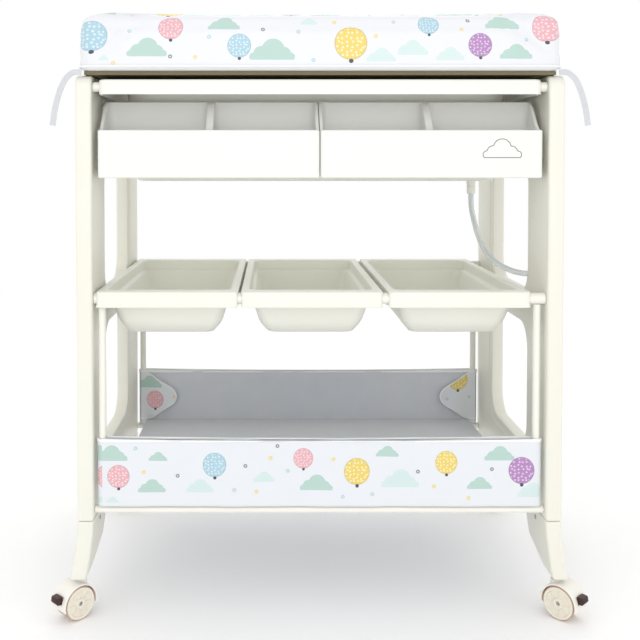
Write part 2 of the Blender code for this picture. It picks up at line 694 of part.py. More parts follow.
# ---------------------------------------------------------------- basket
def basket_panel(end, forward):
    """A cloth panel that runs round its two posts."""
    line = forward * at_depth(FRONT_LINE)
    low = (-BASKET_HALF_X, line - RAIL_R - CLOTH, BASKET_BOTTOM)
    high = (BASKET_HALF_X, line + RAIL_R + CLOTH, BASKET_TOP)
    panel = box(f"basket_{end}", low, high, PRINTED if forward > 0 else BACKING, bevel=CLOTH, segments=1)
    for side, sign in SIDES:
        reach = RAIL_R + GAP
        slot = box(f"post_slot_{end}_{side}", (sign * POST_X - reach, line - reach, 0.10),
                   (sign * POST_X + reach, line + reach, 0.40), group=cutters)
        cut(panel, slot)
    hollow_end = POST_X - 2 * RAIL_R
    hollow = box(f"panel_hollow_{end}", (-hollow_end, line - RAIL_R, BASKET_BOTTOM + CLOTH),
                 (hollow_end, line + RAIL_R, BASKET_TOP + 0.01), group=cutters)
    cut(panel, hollow)
    return panel


def ear(panel, side, sign):
    """The end of the rear panel, folded inwards round its post to a rounded point."""
    tip_x, tip_z = EAR_TIP
    root = POST_X + RAIL_R
    outline = [(root, EAR_LOW)] + arc((tip_x + EAR_TIP_R, tip_z), EAR_TIP_R, 240, 120, 6) + [(root, EAR_HIGH)]
    face = -at_depth(FRONT_LINE) - RAIL_R - CLOTH
    placing = Matrix.Translation((0, face - CLOTH / 2 + 0.0005, 0)) @ FRONT_VIEW
    flap = plate("ear_" + side, [[(sign * x, z) for x, z in outline]], CLOTH, placing, group=cutters)
    join(panel, flap)


basket_panel("front", 1)
rear_panel = basket_panel("rear", -1)
for side_name, side_sign in SIDES:
    ear(rear_panel, side_name, side_sign)
floor_end = POST_X - RAIL_R - 0.002
inner_line = FRONT_LINE + RAIL_R + CLOTH + GAP
box("basket_floor", (-floor_end, at_depth(inner_line), FLOOR_Z),
    (floor_end, at_depth(FRAME_DEPTH - inner_line), FLOOR_Z + FLOOR_THICK), BACKING)


# ---------------------------------------------------------------- castors
# A castor is drawn in its own frame, swivel axis up through the origin, axle along X and
# trailing to +Y. Its baked meshes are shared by the four corners.
AXLE_CENTRE = (TRAIL, WHEEL_R)
LEVER_LINE = (TRAIL + 0.0255, 0.038)


def baked(obj):
    """The mesh that an object's modifiers give."""
    bpy.context.view_layer.update()
    return bpy.data.meshes.new_from_object(obj.evaluated_get(bpy.context.evaluated_depsgraph_get()))


def hood_master(with_slot):
    """A fender over both wheels with a web between them, bored for axle and stem."""
    tag = "braked" if with_slot else "plain"
    fender = arc(AXLE_CENTRE, HOOD_R, -12, 192, 20) + arc(AXLE_CENTRE, WHEEL_R + RIM_GAP, 192, -12, 20)
    hood = plate("hood_" + tag, [fender], 2 * HOOD_HALF, SIDE_VIEW, group=cutters)
    web = arc(AXLE_CENTRE, HOOD_R - 0.0012, -7, 187, 17) + arc(AXLE_CENTRE, WEB_R, 215, 325, 5)
    join(hood, plate("web_" + tag, [web], 2 * (WHEEL_INNER - 0.001), SIDE_VIEW, group=cutters))
    reach = HOOD_HALF + 0.01
    cut(hood, rod("axle_bore_" + tag, (-reach, TRAIL, WHEEL_R), (reach, TRAIL, WHEEL_R), AXLE_R + GAP,
                  group=cutters))
    cut(hood, rod("stem_bore_" + tag, (0, 0, STEM_FOOT_Z - 0.0005), (0, 0, 0.080), STEM_R + GAP, group=cutters))
    if with_slot:
        # room for the lever's root in the web and, wider, for its pad in the fender, over its whole tilt
        for slot, half, start in (("web", 0.0063, 0.0205), ("rim", 0.0096, 0.0262)):
            cut(hood, box(f"lever_{slot}_slot", (-half, TRAIL + start, SLOT_Z[0]), (half, TRAIL + 0.040, SLOT_Z[1]),
                          group=cutters))
    return baked(hood)


def lever_mesh():
    """A toe lever: a narrow root in the web and a wide pad in the fender's slot."""
    pad = [(0.0283, 0.0325), (0.0370, 0.0325), (0.0395, 0.0360), (0.0380, 0.0440), (0.0283, 0.0450)]
    pad = [(TRAIL + d, z) for d, z in pad]
    lever = plate("lever_shape", [pad], 0.018, SIDE_VIEW, group=cutters)
    join(lever, box("lever_root", (-0.0053, TRAIL + 0.0225, 0.0335), (0.0053, TRAIL + 0.0300, 0.0425),
                    group=cutters))
    return baked(lever)


HOOD_MESHES = {"front": hood_master(True), "rear": hood_master(False)}
LEVER_MESH = lever_mesh()
STEM_PROFILE = [(0.0, FOOT_BOTTOM + STEM_LENGTH), (STEM_R, FOOT_BOTTOM + STEM_LENGTH), (STEM_R, FOOT_BOTTOM - GAP),
                (COLLAR_R, FOOT_BOTTOM - GAP), (COLLAR_R, COLLAR_Z), (STEM_R, COLLAR_Z), (STEM_R, STEM_FOOT_Z),
                (0.0, STEM_FOOT_Z)]
WHEEL_PROFILE = [(AXLE_R + GAP, WHEEL_WIDTH), (WHEEL_R * 0.80, WHEEL_WIDTH),
                 (WHEEL_R - 0.0015, WHEEL_WIDTH - 0.001), (WHEEL_R, WHEEL_WIDTH - 0.003), (WHEEL_R, 0.0),
                 (AXLE_R + GAP, 0.0)]


def placed_copy(name, mesh, place, mat):
    obj = bpy.data.objects.new(name, mesh.copy())
    parts.objects.link(obj)
    obj.data.materials.clear()
    obj.data.materials.append(mat)
    obj.matrix_world = place
    shade(obj)
    return obj


def castor(end, forward, side, sign):
    """Hood, stem, axle and two wheels, turned to trail outwards from the corner."""
    label = f"{end}_{side}"
    stem_at = Vector((sign * STEM_X, forward * at_depth(STEM_INSET), 0))
    trailing = math.atan2(-forward, sign) - math.pi / 2
    place = Matrix.Translation(stem_at) @ Matrix.Rotation(trailing, 4, "Z")
    across = (place.to_3x3() @ Vector((1, 0, 0))).normalized()
    centre = place @ Vector((0, TRAIL, WHEEL_R))
    half_axle = across * (HOOD_HALF - 0.003)
    swivelling = [
        placed_copy("castor_hood_" + label, HOOD_MESHES[end], place, WARM_WHITE),
        rod("castor_axle_" + label, centre - half_axle, centre + half_axle, AXLE_R, STEEL, sides=12),
        turned("castor_stem_" + label, STEM_PROFILE, stem_at, STEEL),
    ]
    wheels = [turned(f"wheel_{label}_{hand}", WHEEL_PROFILE, centre + across * facing * WHEEL_INNER, WHEEL,
                     steps=24, axis=across * facing) for hand, facing in (("a", 1), ("b", -1))]
    if end == "front":
        lever = placed_copy("brake_lever_" + label, LEVER_MESH, place, BRAKE)
        swivelling.append(hang_on("lever_line_" + label, place @ Vector((0, *LEVER_LINE)), [lever]))
    swivelling.append(hang_on("axle_line_" + label, centre, wheels))
    hang_on("swivel_" + label, stem_at, swivelling)


for end_name, end_sign in ENDS:
    for side_name, side_sign in SIDES:
        castor(end_name, end_sign, side_name, side_sign)
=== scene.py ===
import math

import bpy
import bmesh
import numpy as np
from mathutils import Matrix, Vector
from mathutils.geometry import delaunay_2d_cdt


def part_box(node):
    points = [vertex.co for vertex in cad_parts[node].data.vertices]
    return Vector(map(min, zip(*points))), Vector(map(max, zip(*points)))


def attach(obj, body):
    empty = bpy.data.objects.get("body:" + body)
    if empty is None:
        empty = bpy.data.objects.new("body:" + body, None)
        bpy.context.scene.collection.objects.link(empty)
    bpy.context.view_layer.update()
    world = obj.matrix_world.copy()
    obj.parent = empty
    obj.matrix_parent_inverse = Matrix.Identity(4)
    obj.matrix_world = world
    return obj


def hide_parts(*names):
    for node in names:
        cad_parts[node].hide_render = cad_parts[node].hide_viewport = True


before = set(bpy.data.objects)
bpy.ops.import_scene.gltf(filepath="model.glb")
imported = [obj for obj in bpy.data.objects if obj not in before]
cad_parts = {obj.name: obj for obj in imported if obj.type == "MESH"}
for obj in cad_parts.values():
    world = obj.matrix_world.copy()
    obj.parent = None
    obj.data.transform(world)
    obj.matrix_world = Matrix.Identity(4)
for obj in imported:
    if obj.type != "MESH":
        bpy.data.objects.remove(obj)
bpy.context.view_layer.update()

sideSigns = {"left": -1, "right": 1}
endSigns = {"front": -1, "rear": 1}
corners = [(end, side) for end in endSigns for side in sideSigns]
frameHalfDepth = 0.245  # from the middle to the legs' outer edges
tubeLine = 0.2295  # from the middle to the axes of the tubes, rails and posts


# the view and the light
camera = {"place": (-0.077, -1.675, 0.747), "pitch": 1.6, "lens": 50.3, "shift": (0.075, -0.2110)}


def addCamera():
    data = bpy.data.cameras.new("camera")
    data.lens = camera["lens"]
    data.sensor_width = 36.0
    data.shift_x, data.shift_y = camera["shift"]
    view = bpy.data.objects.new("camera", data)
    view.location = camera["place"]
    view.rotation_euler = (math.radians(90 - camera["pitch"]), 0, 0)
    bpy.context.scene.collection.objects.link(view)
    bpy.context.scene.camera = view


studio = {  # place, size, power in watts, what it is aimed at
    "key": ((-1.5, -2.3, 2.4), 1.8, 6, (0, 0, 0.5)),
    "fill": ((1.9, -2.0, 1.5), 1.8, 2, (0, 0, 0.5)),
    "front": ((0.0, -2.5, 0.9), 1.6, 8, (0, 0, 0.6)),
    "back": ((0.2, 2.2, 2.3), 1.6, 4, (0, 0, 0.6)),
}


def addLights():
    for name, (place, size, power, aim) in studio.items():
        data = bpy.data.lights.new(name, "AREA")
        data.size = size
        data.energy = power
        lamp = bpy.data.objects.new(name, data)
        lamp.location = place
        lamp.rotation_euler = (Vector(aim) - Vector(place)).to_track_quat("-Z", "Y").to_euler()
        bpy.context.scene.collection.objects.link(lamp)
    world = bpy.data.worlds.new("white_room")
    world.use_nodes = True
    world.node_tree.nodes["Background"].inputs["Color"].default_value = (1, 1, 1, 1)
    world.node_tree.nodes["Background"].inputs["Strength"].default_value = 1.0
    bpy.context.scene.world = world
    bpy.context.scene.view_settings.view_transform = "Standard"


addCamera()
addLights()
print("camera and lights are up")


# nodes and colours
def linear(hexColour):
    # sRGB hex to linear light
    values = [int(hexColour[i:i + 2], 16) / 255 for i in (1, 3, 5)]
    return tuple(v / 12.92 if v <= 0.04045 else ((v + 0.055) / 1.055) ** 2.4 for v in values) + (1.0,)


def addNode(tree, kind, links=None, **settings):
    # settings name properties; links map an input to the socket that feeds it or to a value
    node = tree.nodes.new(kind)
    for name, value in settings.items():
        setattr(node, name, value)
    for key, value in (links or {}).items():
        socket = node.inputs[key]
        if isinstance(value, bpy.types.NodeSocket):
            tree.links.new(value, socket)
        else:
            socket.default_value = value
    return node


def mixColours(tree, factor, first, second):
    # the colour sockets of a Mix node are its seventh and eighth inputs and its third output
    return addNode(tree, "ShaderNodeMix", {0: factor, 6: first, 7: second}, data_type="RGBA").outputs[2]


def newMaterial(name, roughness, ior=1.5, metallic=0.0, **sockets):
    made = bpy.data.materials.new(name)
    made.use_nodes = True
    shader = made.node_tree.nodes["Principled BSDF"]
    shader.inputs["Roughness"].default_value = roughness
    shader.inputs["Metallic"].default_value = metallic
    if metallic == 0:
        shader.inputs["IOR"].default_value = ior
    for socket, value in sockets.items():
        shader.inputs[socket.replace("_", " ")].default_value = value
    return made, made.node_tree, shader


def coordsOf(tree, kind="Object"):
    return addNode(tree, "ShaderNodeTexCoord").outputs[kind]


def colourBetween(tree, shader, factor, first, second):
    # the base colour runs from one hex colour to the other
    tree.links.new(mixColours(tree, factor, linear(first), linear(second)), shader.inputs["Base Color"])


def roughnessBetween(tree, shader, factor, low, high):
    spread = addNode(tree, "ShaderNodeMapRange", {"Value": factor, "To Min": low, "To Max": high})
    tree.links.new(spread.outputs["Result"], shader.inputs["Roughness"])


def raised(tree, shader, height, strength, distance):
    # a relief from a height socket; distance is its depth in metres
    relief = addNode(tree, "ShaderNodeBump", {"Height": height, "Strength": strength, "Distance": distance})
    tree.links.new(relief.outputs["Normal"], shader.inputs["Normal"])


def mouldedPlastic(name, colour, shade, roughness, grain=0.5, bump=0.05):
    # a moulded thermoplastic: an even colour with slow drift, a fine spark-eroded grain and slightly uneven gloss
    made, tree, shader = newMaterial(name, roughness, ior=1.49)
    place = coordsOf(tree)
    drift = addNode(tree, "ShaderNodeTexNoise", {"Vector": place, "Scale": 7.0, "Detail": 2.0})
    colourBetween(tree, shader, drift.outputs["Fac"], colour, shade)
    grainScale = 1000 / (2.2 * grain)          # grain in mm, drawn coarser than the real 0.1 mm so that it shows
    pits = addNode(tree, "ShaderNodeTexNoise", {"Vector": place, "Scale": grainScale, "Detail": 3.0})
    roughnessBetween(tree, shader, drift.outputs["Fac"], roughness - 0.05, roughness + 0.06)
    raised(tree, shader, pits.outputs["Fac"], bump, 0.0006)
    return made


# satin polypropylene: soft wide highlights on a warm white body
framePolypropylene = mouldedPlastic("satin_polypropylene_frame", "#EAE9DE", "#E6E4D7", 0.40, 0.9, 0.06)
trayPolypropylene = mouldedPlastic("satin_polypropylene_tray", "#EBECE8", "#E8E9E4", 0.36, 0.8, 0.05)
binPolypropylene = mouldedPlastic("satin_polypropylene_bin", "#EBEBE2", "#E8E8DD", 0.38, 0.8, 0.05)
# glossier polypropylene, so that water runs off it
tubPolypropylene = mouldedPlastic("gloss_polypropylene_tub", "#ECECE6", "#E9E9E2", 0.24, 1.0, 0.03)
castorNylon = mouldedPlastic("moulded_nylon_wheel", "#EDE7DA", "#E6DFCF", 0.34, 0.6, 0.06)
hoodNylon = mouldedPlastic("moulded_nylon_hood", "#F1EFE8", "#ECE9DF", 0.32, 0.6, 0.05)
treadRubber = mouldedPlastic("tan_rubber_tread", "#C9A994", "#BE9C86", 0.62, 0.5, 0.10)
leverPlastic = mouldedPlastic("dark_brown_polypropylene", "#3B1A1A", "#331414", 0.38, 0.6, 0.08)
whiteRubber = mouldedPlastic("white_silicone_rubber", "#E4E3DC", "#DDDCD2", 0.55, 0.5, 0.05)


def powderCoat(name, colour):
    # powder coat on steel tube: an orange-peel ripple under a soft gloss
    made, tree, shader = newMaterial(name, 0.36, ior=1.5)
    shader.inputs["Base Color"].default_value = linear(colour)
    place = coordsOf(tree)
    peel = addNode(tree, "ShaderNodeTexNoise", {"Vector": place, "Scale": 420.0, "Detail": 1.0})
    raised(tree, shader, peel.outputs["Fac"], 0.10, 0.0008)
    return made


def zincPlate(name):
    # bright zinc plating: a grey metal with cloudy spangle
    made, tree, shader = newMaterial(name, 0.32, metallic=1.0)
    place = coordsOf(tree)
    spangle = addNode(tree, "ShaderNodeTexVoronoi", {"Vector": place, "Scale": 260.0})
    colourBetween(tree, shader, spangle.outputs["Distance"], "#B9BCC0", "#A2A6AB")
    roughnessBetween(tree, shader, spangle.outputs["Distance"], 0.26, 0.42)
    return made


def hardboard(name):
    # pressed wood fibre: brown, matt, with a fine random fleck
    made, tree, shader = newMaterial(name, 0.72)
    place = coordsOf(tree)
    fibre = addNode(tree, "ShaderNodeTexNoise", {"Vector": place, "Scale": 520.0, "Detail": 6.0, "Roughness": 0.7})
    colourBetween(tree, shader, fibre.outputs["Fac"], "#857B5C", "#6A6147")
    raised(tree, shader, fibre.outputs["Fac"], 0.2, 0.0005)
    return made


def clearVinyl(name):
    # flexible PVC hose: milky, lets light through, waxy gloss
    made, tree, shader = newMaterial(name, 0.16, ior=1.53, Transmission_Weight=0.45,
                                     Subsurface_Weight=0.15, Coat_Weight=0.3)
    shader.inputs["Base Color"].default_value = linear("#E9EEF1")
    along = addNode(tree, "ShaderNodeSeparateXYZ", {"Vector": coordsOf(tree, "UV")}).outputs["X"]
    waves = addNode(tree, "ShaderNodeMath", {0: along, 1: 900.0}, operation="MULTIPLY")
    ripple = addNode(tree, "ShaderNodeMath", {0: waves.outputs[0]}, operation="SINE")
    raised(tree, shader, ripple.outputs[0], 0.12, 0.0004)
    return made


tubePaint = powderCoat("powder_coated_steel_tube", "#EEECE3")
zincSteel = zincPlate("zinc_plated_steel")
boardFibre = hardboard("hardboard_panel")
hoseVinyl = clearVinyl("milky_pvc_hose")


def math2(tree, operation, a, b=0.0):
    return addNode(tree, "ShaderNodeMath", {0: a, 1: b}, operation=operation).outputs[0]


def weaveHeight(tree, along, up, pitch):
    # over-and-under threads: two crossed sine waves, thread pitch in metres
    turns = 2 * math.pi / pitch
    warp = math2(tree, "SINE", math2(tree, "MULTIPLY", along, turns))
    weft = math2(tree, "SINE", math2(tree, "MULTIPLY", up, turns))
    return math2(tree, "MULTIPLY", warp, weft)


def wovenCloth(name, colour, shade, roughness, pitch=0.0011, strength=0.25, sheen=0.3):
    # plain-weave cloth: thread relief, a little mottling, soft sheen at grazing angles
    made, tree, shader = newMaterial(name, roughness, ior=1.45, Sheen_Weight=sheen, Sheen_Roughness=0.4)
    split = addNode(tree, "ShaderNodeSeparateXYZ", {"Vector": coordsOf(tree, "UV")})
    weave = weaveHeight(tree, split.outputs["X"], split.outputs["Y"], pitch)
    mottle = addNode(tree, "ShaderNodeTexNoise", {"Vector": coordsOf(tree), "Scale": 28.0, "Detail": 4.0})
    colourBetween(tree, shader, mottle.outputs["Fac"], colour, shade)
    raised(tree, shader, weave, strength, 0.0004)
    return made


liningCloth = wovenCloth("grey_white_polyester_lining", "#D6D8DE", "#CCCFD6", 0.80)
bindingTape = wovenCloth("white_bias_binding", "#F7F8F8", "#EFF1F2", 0.75, 0.0009, 0.2)
tieTape = wovenCloth("woven_cotton_tape", "#DFE0E4", "#D0D2D7", 0.85, 0.0010, 0.5, 0.4)

# the print: balloons, clouds and dots, as (along, up, radius) in metres from the strip's lower left corner
inks = {"mint": "#AFCDC3", "pale": "#CDE1DF", "blue": "#A9CBD9", "pink": "#E2AEB6", "yellow": "#E6CD6B",
        "purple": "#B184BA", "grey": "#74787F"}
matPrint = {
    "size": (0.772, 0.091),
    "balloons": [(0.037, 0.054, 0.023, "blue"), (0.157, 0.068, 0.019, "pink"), (0.262, 0.038, 0.018, "blue"),
                 (0.432, 0.042, 0.025, "yellow"), (0.551, 0.073, 0.016, "blue"), (0.629, 0.039, 0.018, "purple"),
                 (0.732, 0.067, 0.021, "pink")],
    "clouds": [(0.121, 0.032, 0.030, "mint"), (0.238, 0.073, 0.024, "mint"), (0.312, 0.028, 0.034, "mint"),
               (0.478, 0.021, 0.022, "pale"), (0.525, 0.032, 0.024, "pale"), (0.583, 0.023, 0.021, "pale"),
               (0.664, 0.076, 0.026, "mint")],
    "small clouds": [(0.056, 0.018, 0.008, "pale"), (0.368, 0.078, 0.013, "pale"), (0.683, 0.026, 0.024, "mint")],
    "dots": [(0.008, 0.070, "yellow"), (0.070, 0.011, "yellow"), (0.094, 0.062, "blue"), (0.157, 0.021, "grey"),
             (0.195, 0.020, "yellow"), (0.216, 0.052, "blue"), (0.298, 0.064, "grey"), (0.352, 0.060, "mint"),
             (0.375, 0.015, "blue"), (0.407, 0.077, "yellow"), (0.470, 0.053, "yellow"), (0.498, 0.078, "mint"),
             (0.601, 0.064, "yellow"), (0.612, 0.081, "grey"), (0.700, 0.048, "blue"), (0.756, 0.020, "grey")],
}
basketPrint = {
    "size": (0.7204, 0.1095),
    "balloons": [(0.034, 0.049, 0.018, "pink"), (0.190, 0.068, 0.019, "blue"), (0.334, 0.079, 0.016, "pink"),
                 (0.421, 0.057, 0.021, "yellow"), (0.566, 0.072, 0.018, "yellow"), (0.688, 0.059, 0.021, "purple")],
    "small clouds": [(0.024, 0.010, 0.010, "pale"), (0.098, 0.080, 0.015, "mint"), (0.270, 0.046, 0.017, "pale"),
                     (0.470, 0.088, 0.018, "mint"), (0.620, 0.036, 0.020, "mint")],
    "clouds": [(0.022, 0.084, 0.026, "mint"), (0.088, 0.031, 0.022, "mint"),
               (0.166, 0.031, 0.022, "pale"), (0.355, 0.036, 0.026, "mint"), (0.491, 0.042, 0.030, "pale"),
               (0.652, 0.084, 0.024, "mint"), (0.706, 0.024, 0.024, "pale")],
    "dots": [(0.062, 0.095, "blue"), (0.075, 0.056, "yellow"), (0.130, 0.050, "grey"), (0.222, 0.027, "blue"),
             (0.240, 0.066, "grey"), (0.258, 0.024, "yellow"), (0.281, 0.079, "yellow"), (0.292, 0.099, "grey"),
             (0.309, 0.058, "mint"), (0.383, 0.077, "yellow"), (0.398, 0.016, "blue"), (0.446, 0.020, "mint"),
             (0.520, 0.057, "grey"), (0.546, 0.033, "yellow"), (0.602, 0.014, "yellow"), (0.640, 0.061, "grey")],
}


rowStep = 0.29


def stepRamp(tree, factor, places, values):
    # a colour ramp in steps: whichever entry lies nearest to factor gives its value
    ramp = addNode(tree, "ShaderNodeValToRGB", {"Fac": factor})
    stops = ramp.color_ramp
    stops.interpolation = "CONSTANT"
    stops.elements[0].position = 0.0
    stops.elements[0].color = values[0]
    stops.elements.remove(stops.elements[1])
    for before, here, value in zip(places, places[1:], values[1:]):
        stops.elements.new((before + here) / 2).color = value
    return ramp.outputs["Color"]


def nearestMotif(tree, along, up, motifs, size):
    # where the point lies from the centre of the motif nearest along the strip, in its radii, and its ink
    width, height = size
    motifs = sorted(motifs)
    places = [m[0] / width for m in motifs]
    factor = math2(tree, "DIVIDE", along, width)
    centres = [(m[0] / width, m[1] / height, m[2] * 10, 1.0) for m in motifs]
    centre = addNode(tree, "ShaderNodeSeparateColor", {"Color": stepRamp(tree, factor, places, centres)})
    colour = stepRamp(tree, factor, places, [linear(inks[m[3]]) for m in motifs])
    radius = math2(tree, "DIVIDE", centre.outputs[2], 10.0)
    fromCentre = math2(tree, "SUBTRACT", along, math2(tree, "MULTIPLY", centre.outputs[0], width))
    fromMiddle = math2(tree, "SUBTRACT", up, math2(tree, "MULTIPLY", centre.outputs[1], height))
    return math2(tree, "DIVIDE", fromCentre, radius), math2(tree, "DIVIDE", fromMiddle, radius), colour


def discMask(tree, x, y, cx, cy, radius, stretch=1.0):
    # 1 inside an ellipse, 0 outside
    dx = math2(tree, "SUBTRACT", x, cx)
    dy = math2(tree, "MULTIPLY", math2(tree, "SUBTRACT", y, cy), stretch)
    far = math2(tree, "SQRT", math2(tree, "ADD", math2(tree, "MULTIPLY", dx, dx), math2(tree, "MULTIPLY", dy, dy)))
    return math2(tree, "LESS_THAN", far, radius), far


def drawPrint(tree, along, up, design, ground):
    # clouds first, then dots, then balloons over both
    colour = ground
    for layer in ("clouds", "small clouds"):
        x, y, ink = nearestMotif(tree, along, up, design[layer], design["size"])
        puffs = [discMask(tree, x, y, cx, cy, r)[0] for cx, cy, r in
                 ((0.05, 0.10, 0.52), (-0.48, -0.08, 0.36), (0.52, -0.10, 0.34), (-0.82, -0.22, 0.20),
                  (0.84, -0.22, 0.19))]
        cloud = puffs[0]
        for puff in puffs[1:]:
            cloud = math2(tree, "MAXIMUM", cloud, puff)
        cloud = math2(tree, "MULTIPLY", cloud, math2(tree, "GREATER_THAN", y, -0.36))
        colour = mixColours(tree, math2(tree, "MULTIPLY", cloud, 0.92), colour, ink)
    dots = [(u, v, 0.0032, name) for u, v, name in design["dots"]]
    x, y, ink = nearestMotif(tree, along, up, dots, design["size"])
    spot, far = discMask(tree, x, y, 0.0, 0.0, 1.0)
    ring = math2(tree, "MULTIPLY", spot, math2(tree, "GREATER_THAN", far, 0.35))
    colour = mixColours(tree, math2(tree, "MULTIPLY", ring, 0.85), colour, ink)
    x, y, ink = nearestMotif(tree, along, up, design["balloons"], design["size"])
    body, far = discMask(tree, x, y, 0.0, 0.0, 1.0, 0.95)
    knot = discMask(tree, x, y, 0.02, -1.12, 0.14)[0]
    mark = addNode(tree, "ShaderNodeCombineXYZ", {"X": x, "Y": y})
    specks = addNode(tree, "ShaderNodeTexVoronoi", {"Vector": mark.outputs[0], "Scale": 3.4, "Randomness": 0.55},
                     voronoi_dimensions="2D")
    pale = math2(tree, "MULTIPLY", math2(tree, "LESS_THAN", specks.outputs["Distance"], 0.26), 0.45)
    dotted = mixColours(tree, pale, ink, linear("#FFFFFF"))
    rim = math2(tree, "GREATER_THAN", far, 0.93)
    darker = mixColours(tree, 0.28, ink, linear("#8A8F98"))
    balloon = mixColours(tree, rim, dotted, darker)
    colour = mixColours(tree, body, colour, balloon)
    return mixColours(tree, knot, colour, linear("#4A4C58"))


def printedCloth(name, design, ground, roughness, coat, pitch, strength):
    # a printed cover: one strip of the design, repeated in rows that each step sideways by rowStep
    made, tree, shader = newMaterial(name, roughness, ior=1.47, Coat_Weight=coat, Coat_Roughness=0.25,
                                     Sheen_Weight=0.1)
    split = addNode(tree, "ShaderNodeSeparateXYZ", {"Vector": coordsOf(tree, "UV")})
    along, up = split.outputs["X"], split.outputs["Y"]
    width, height = design["size"]
    row = math2(tree, "FLOOR", math2(tree, "DIVIDE", up, height))
    stepped = math2(tree, "ADD", along, math2(tree, "MULTIPLY", row, rowStep))
    alongStrip = math2(tree, "FLOORED_MODULO", stepped, width)
    upStrip = math2(tree, "FLOORED_MODULO", up, height)
    colour = drawPrint(tree, alongStrip, upStrip, design, linear(ground))
    tree.links.new(colour, shader.inputs["Base Color"])
    raised(tree, shader, weaveHeight(tree, along, up, pitch), strength, 0.0004)
    return made


# coated cotton: the print shows through a thin wipe-clean film, with the cloth's weave just felt
matCover = printedCloth("printed_coated_cotton", matPrint, "#E4E5E9", 0.46, 0.25, 0.0010, 0.10)
basketCover = printedCloth("printed_polyester", basketPrint, "#E2E5E9", 0.62, 0.0, 0.0011, 0.25)
print("materials are mixed")


# meshes from arrays
def makeMesh(name, points, faces, material, body, uv=None, sharp=35.0):
    # doubles are merged, faces turned outwards and edges over sharp degrees kept crisp;
    # uv has a row for each point or for each corner of each face
    mesh = bpy.data.meshes.new(name)
    mesh.from_pydata(np.asarray(points, dtype=float).tolist(), [], [list(map(int, f)) for f in faces])
    if uv is not None:
        layer = mesh.uv_layers.new(name="cloth")
        uv = np.asarray(uv, dtype=float)
        if len(uv) != len(mesh.loops):
            vertexOf = np.zeros(len(mesh.loops), dtype=np.int32)
            mesh.loops.foreach_get("vertex_index", vertexOf)
            uv = uv[vertexOf]
        layer.data.foreach_set("uv", uv.ravel())
    work = bmesh.new()
    work.from_mesh(mesh)
    bmesh.ops.remove_doubles(work, verts=work.verts, dist=0.00001)
    bmesh.ops.dissolve_degenerate(work, edges=work.edges, dist=0.000005)
    bmesh.ops.recalc_face_normals(work, faces=work.faces)
    closed = all(edge.is_manifold for edge in work.edges)
    if closed and work.calc_volume(signed=True) < 0:
        bmesh.ops.reverse_faces(work, faces=work.faces)
    work.to_mesh(mesh)
    work.free()
    mesh.materials.append(material)
    mesh.shade_smooth()
    if sharp:
        mesh.set_sharp_from_angle(angle=math.radians(sharp))
    piece = bpy.data.objects.new(name, mesh)
    bpy.context.scene.collection.objects.link(piece)
    if body:
        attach(piece, body)
    return piece


def joined(name, pieces):
    # one object from several that share a material or bring their own
    mesh = bpy.data.meshes.new(name)
    work = bmesh.new()
    materials = []
    for piece in pieces:
        offset = len(work.faces)
        slots = []
        for material in piece.data.materials:
            if material not in materials:
                materials.append(material)
            slots.append(materials.index(material))
        work.from_mesh(piece.data)
        work.faces.ensure_lookup_table()
        for face in work.faces[offset:]:
            face.material_index = slots[face.material_index]
    work.to_mesh(mesh)
    work.free()
    for material in materials:
        mesh.materials.append(material)
    for piece in pieces:
        bpy.data.objects.remove(piece, do_unlink=True)
    whole = bpy.data.objects.new(name, mesh)
    bpy.context.scene.collection.objects.link(whole)
    return whole


def gridFaces(rows, columns, wrapColumns=True, wrapRows=False):
    # quads between neighbouring rows and columns of a grid of points
    row = np.arange(rows if wrapRows else rows - 1)
    column = np.arange(columns if wrapColumns else columns - 1)
    r, c = np.meshgrid(row, column, indexing="ij")
    nextRow, nextColumn = (r + 1) % rows, (c + 1) % columns
    quads = np.stack([r * columns + c, r * columns + nextColumn, nextRow * columns + nextColumn,
                      nextRow * columns + c], axis=-1)
    return quads.reshape(-1, 4).tolist()


def roundedCorner(points, radii, steps=5):
    # a line whose corners are eased: each is cut back on both sides by its radius and bridged by a quadratic
    points = np.asarray(points, dtype=float)
    out = [points[0]]
    for before, here, after, radius in zip(points, points[1:], points[2:], radii[1:]):
        back, on = before - here, after - here
        start = here + back * min(radius / max(np.linalg.norm(back), 1e-9), 0.49)
        end = here + on * min(radius / max(np.linalg.norm(on), 1e-9), 0.49)
        t = np.linspace(0, 1, steps + 1)[:, None]
        out.extend((1 - t) ** 2 * start + 2 * t * (1 - t) * here + t ** 2 * end)
    out.append(points[-1])
    return np.array(out)


def cappedFaces(rows, columns):
    # the quads of a grid that is closed round, and a cap over its first and its last row
    return gridFaces(rows, columns) + [list(range(columns)), list(range((rows - 1) * columns, rows * columns))]


def atHeight(loop, z):
    # flat points lifted to a height
    return np.column_stack([loop, np.full(len(loop), z)])


def headings(route):
    # the direction of travel at each point of a line
    ahead = np.gradient(route, axis=0)
    return ahead / np.linalg.norm(ahead, axis=1)[:, None]


def runAlong(route):
    # how far along a line each of its points lies
    return np.concatenate([[0], np.cumsum(np.linalg.norm(np.diff(route, axis=0), axis=1))])


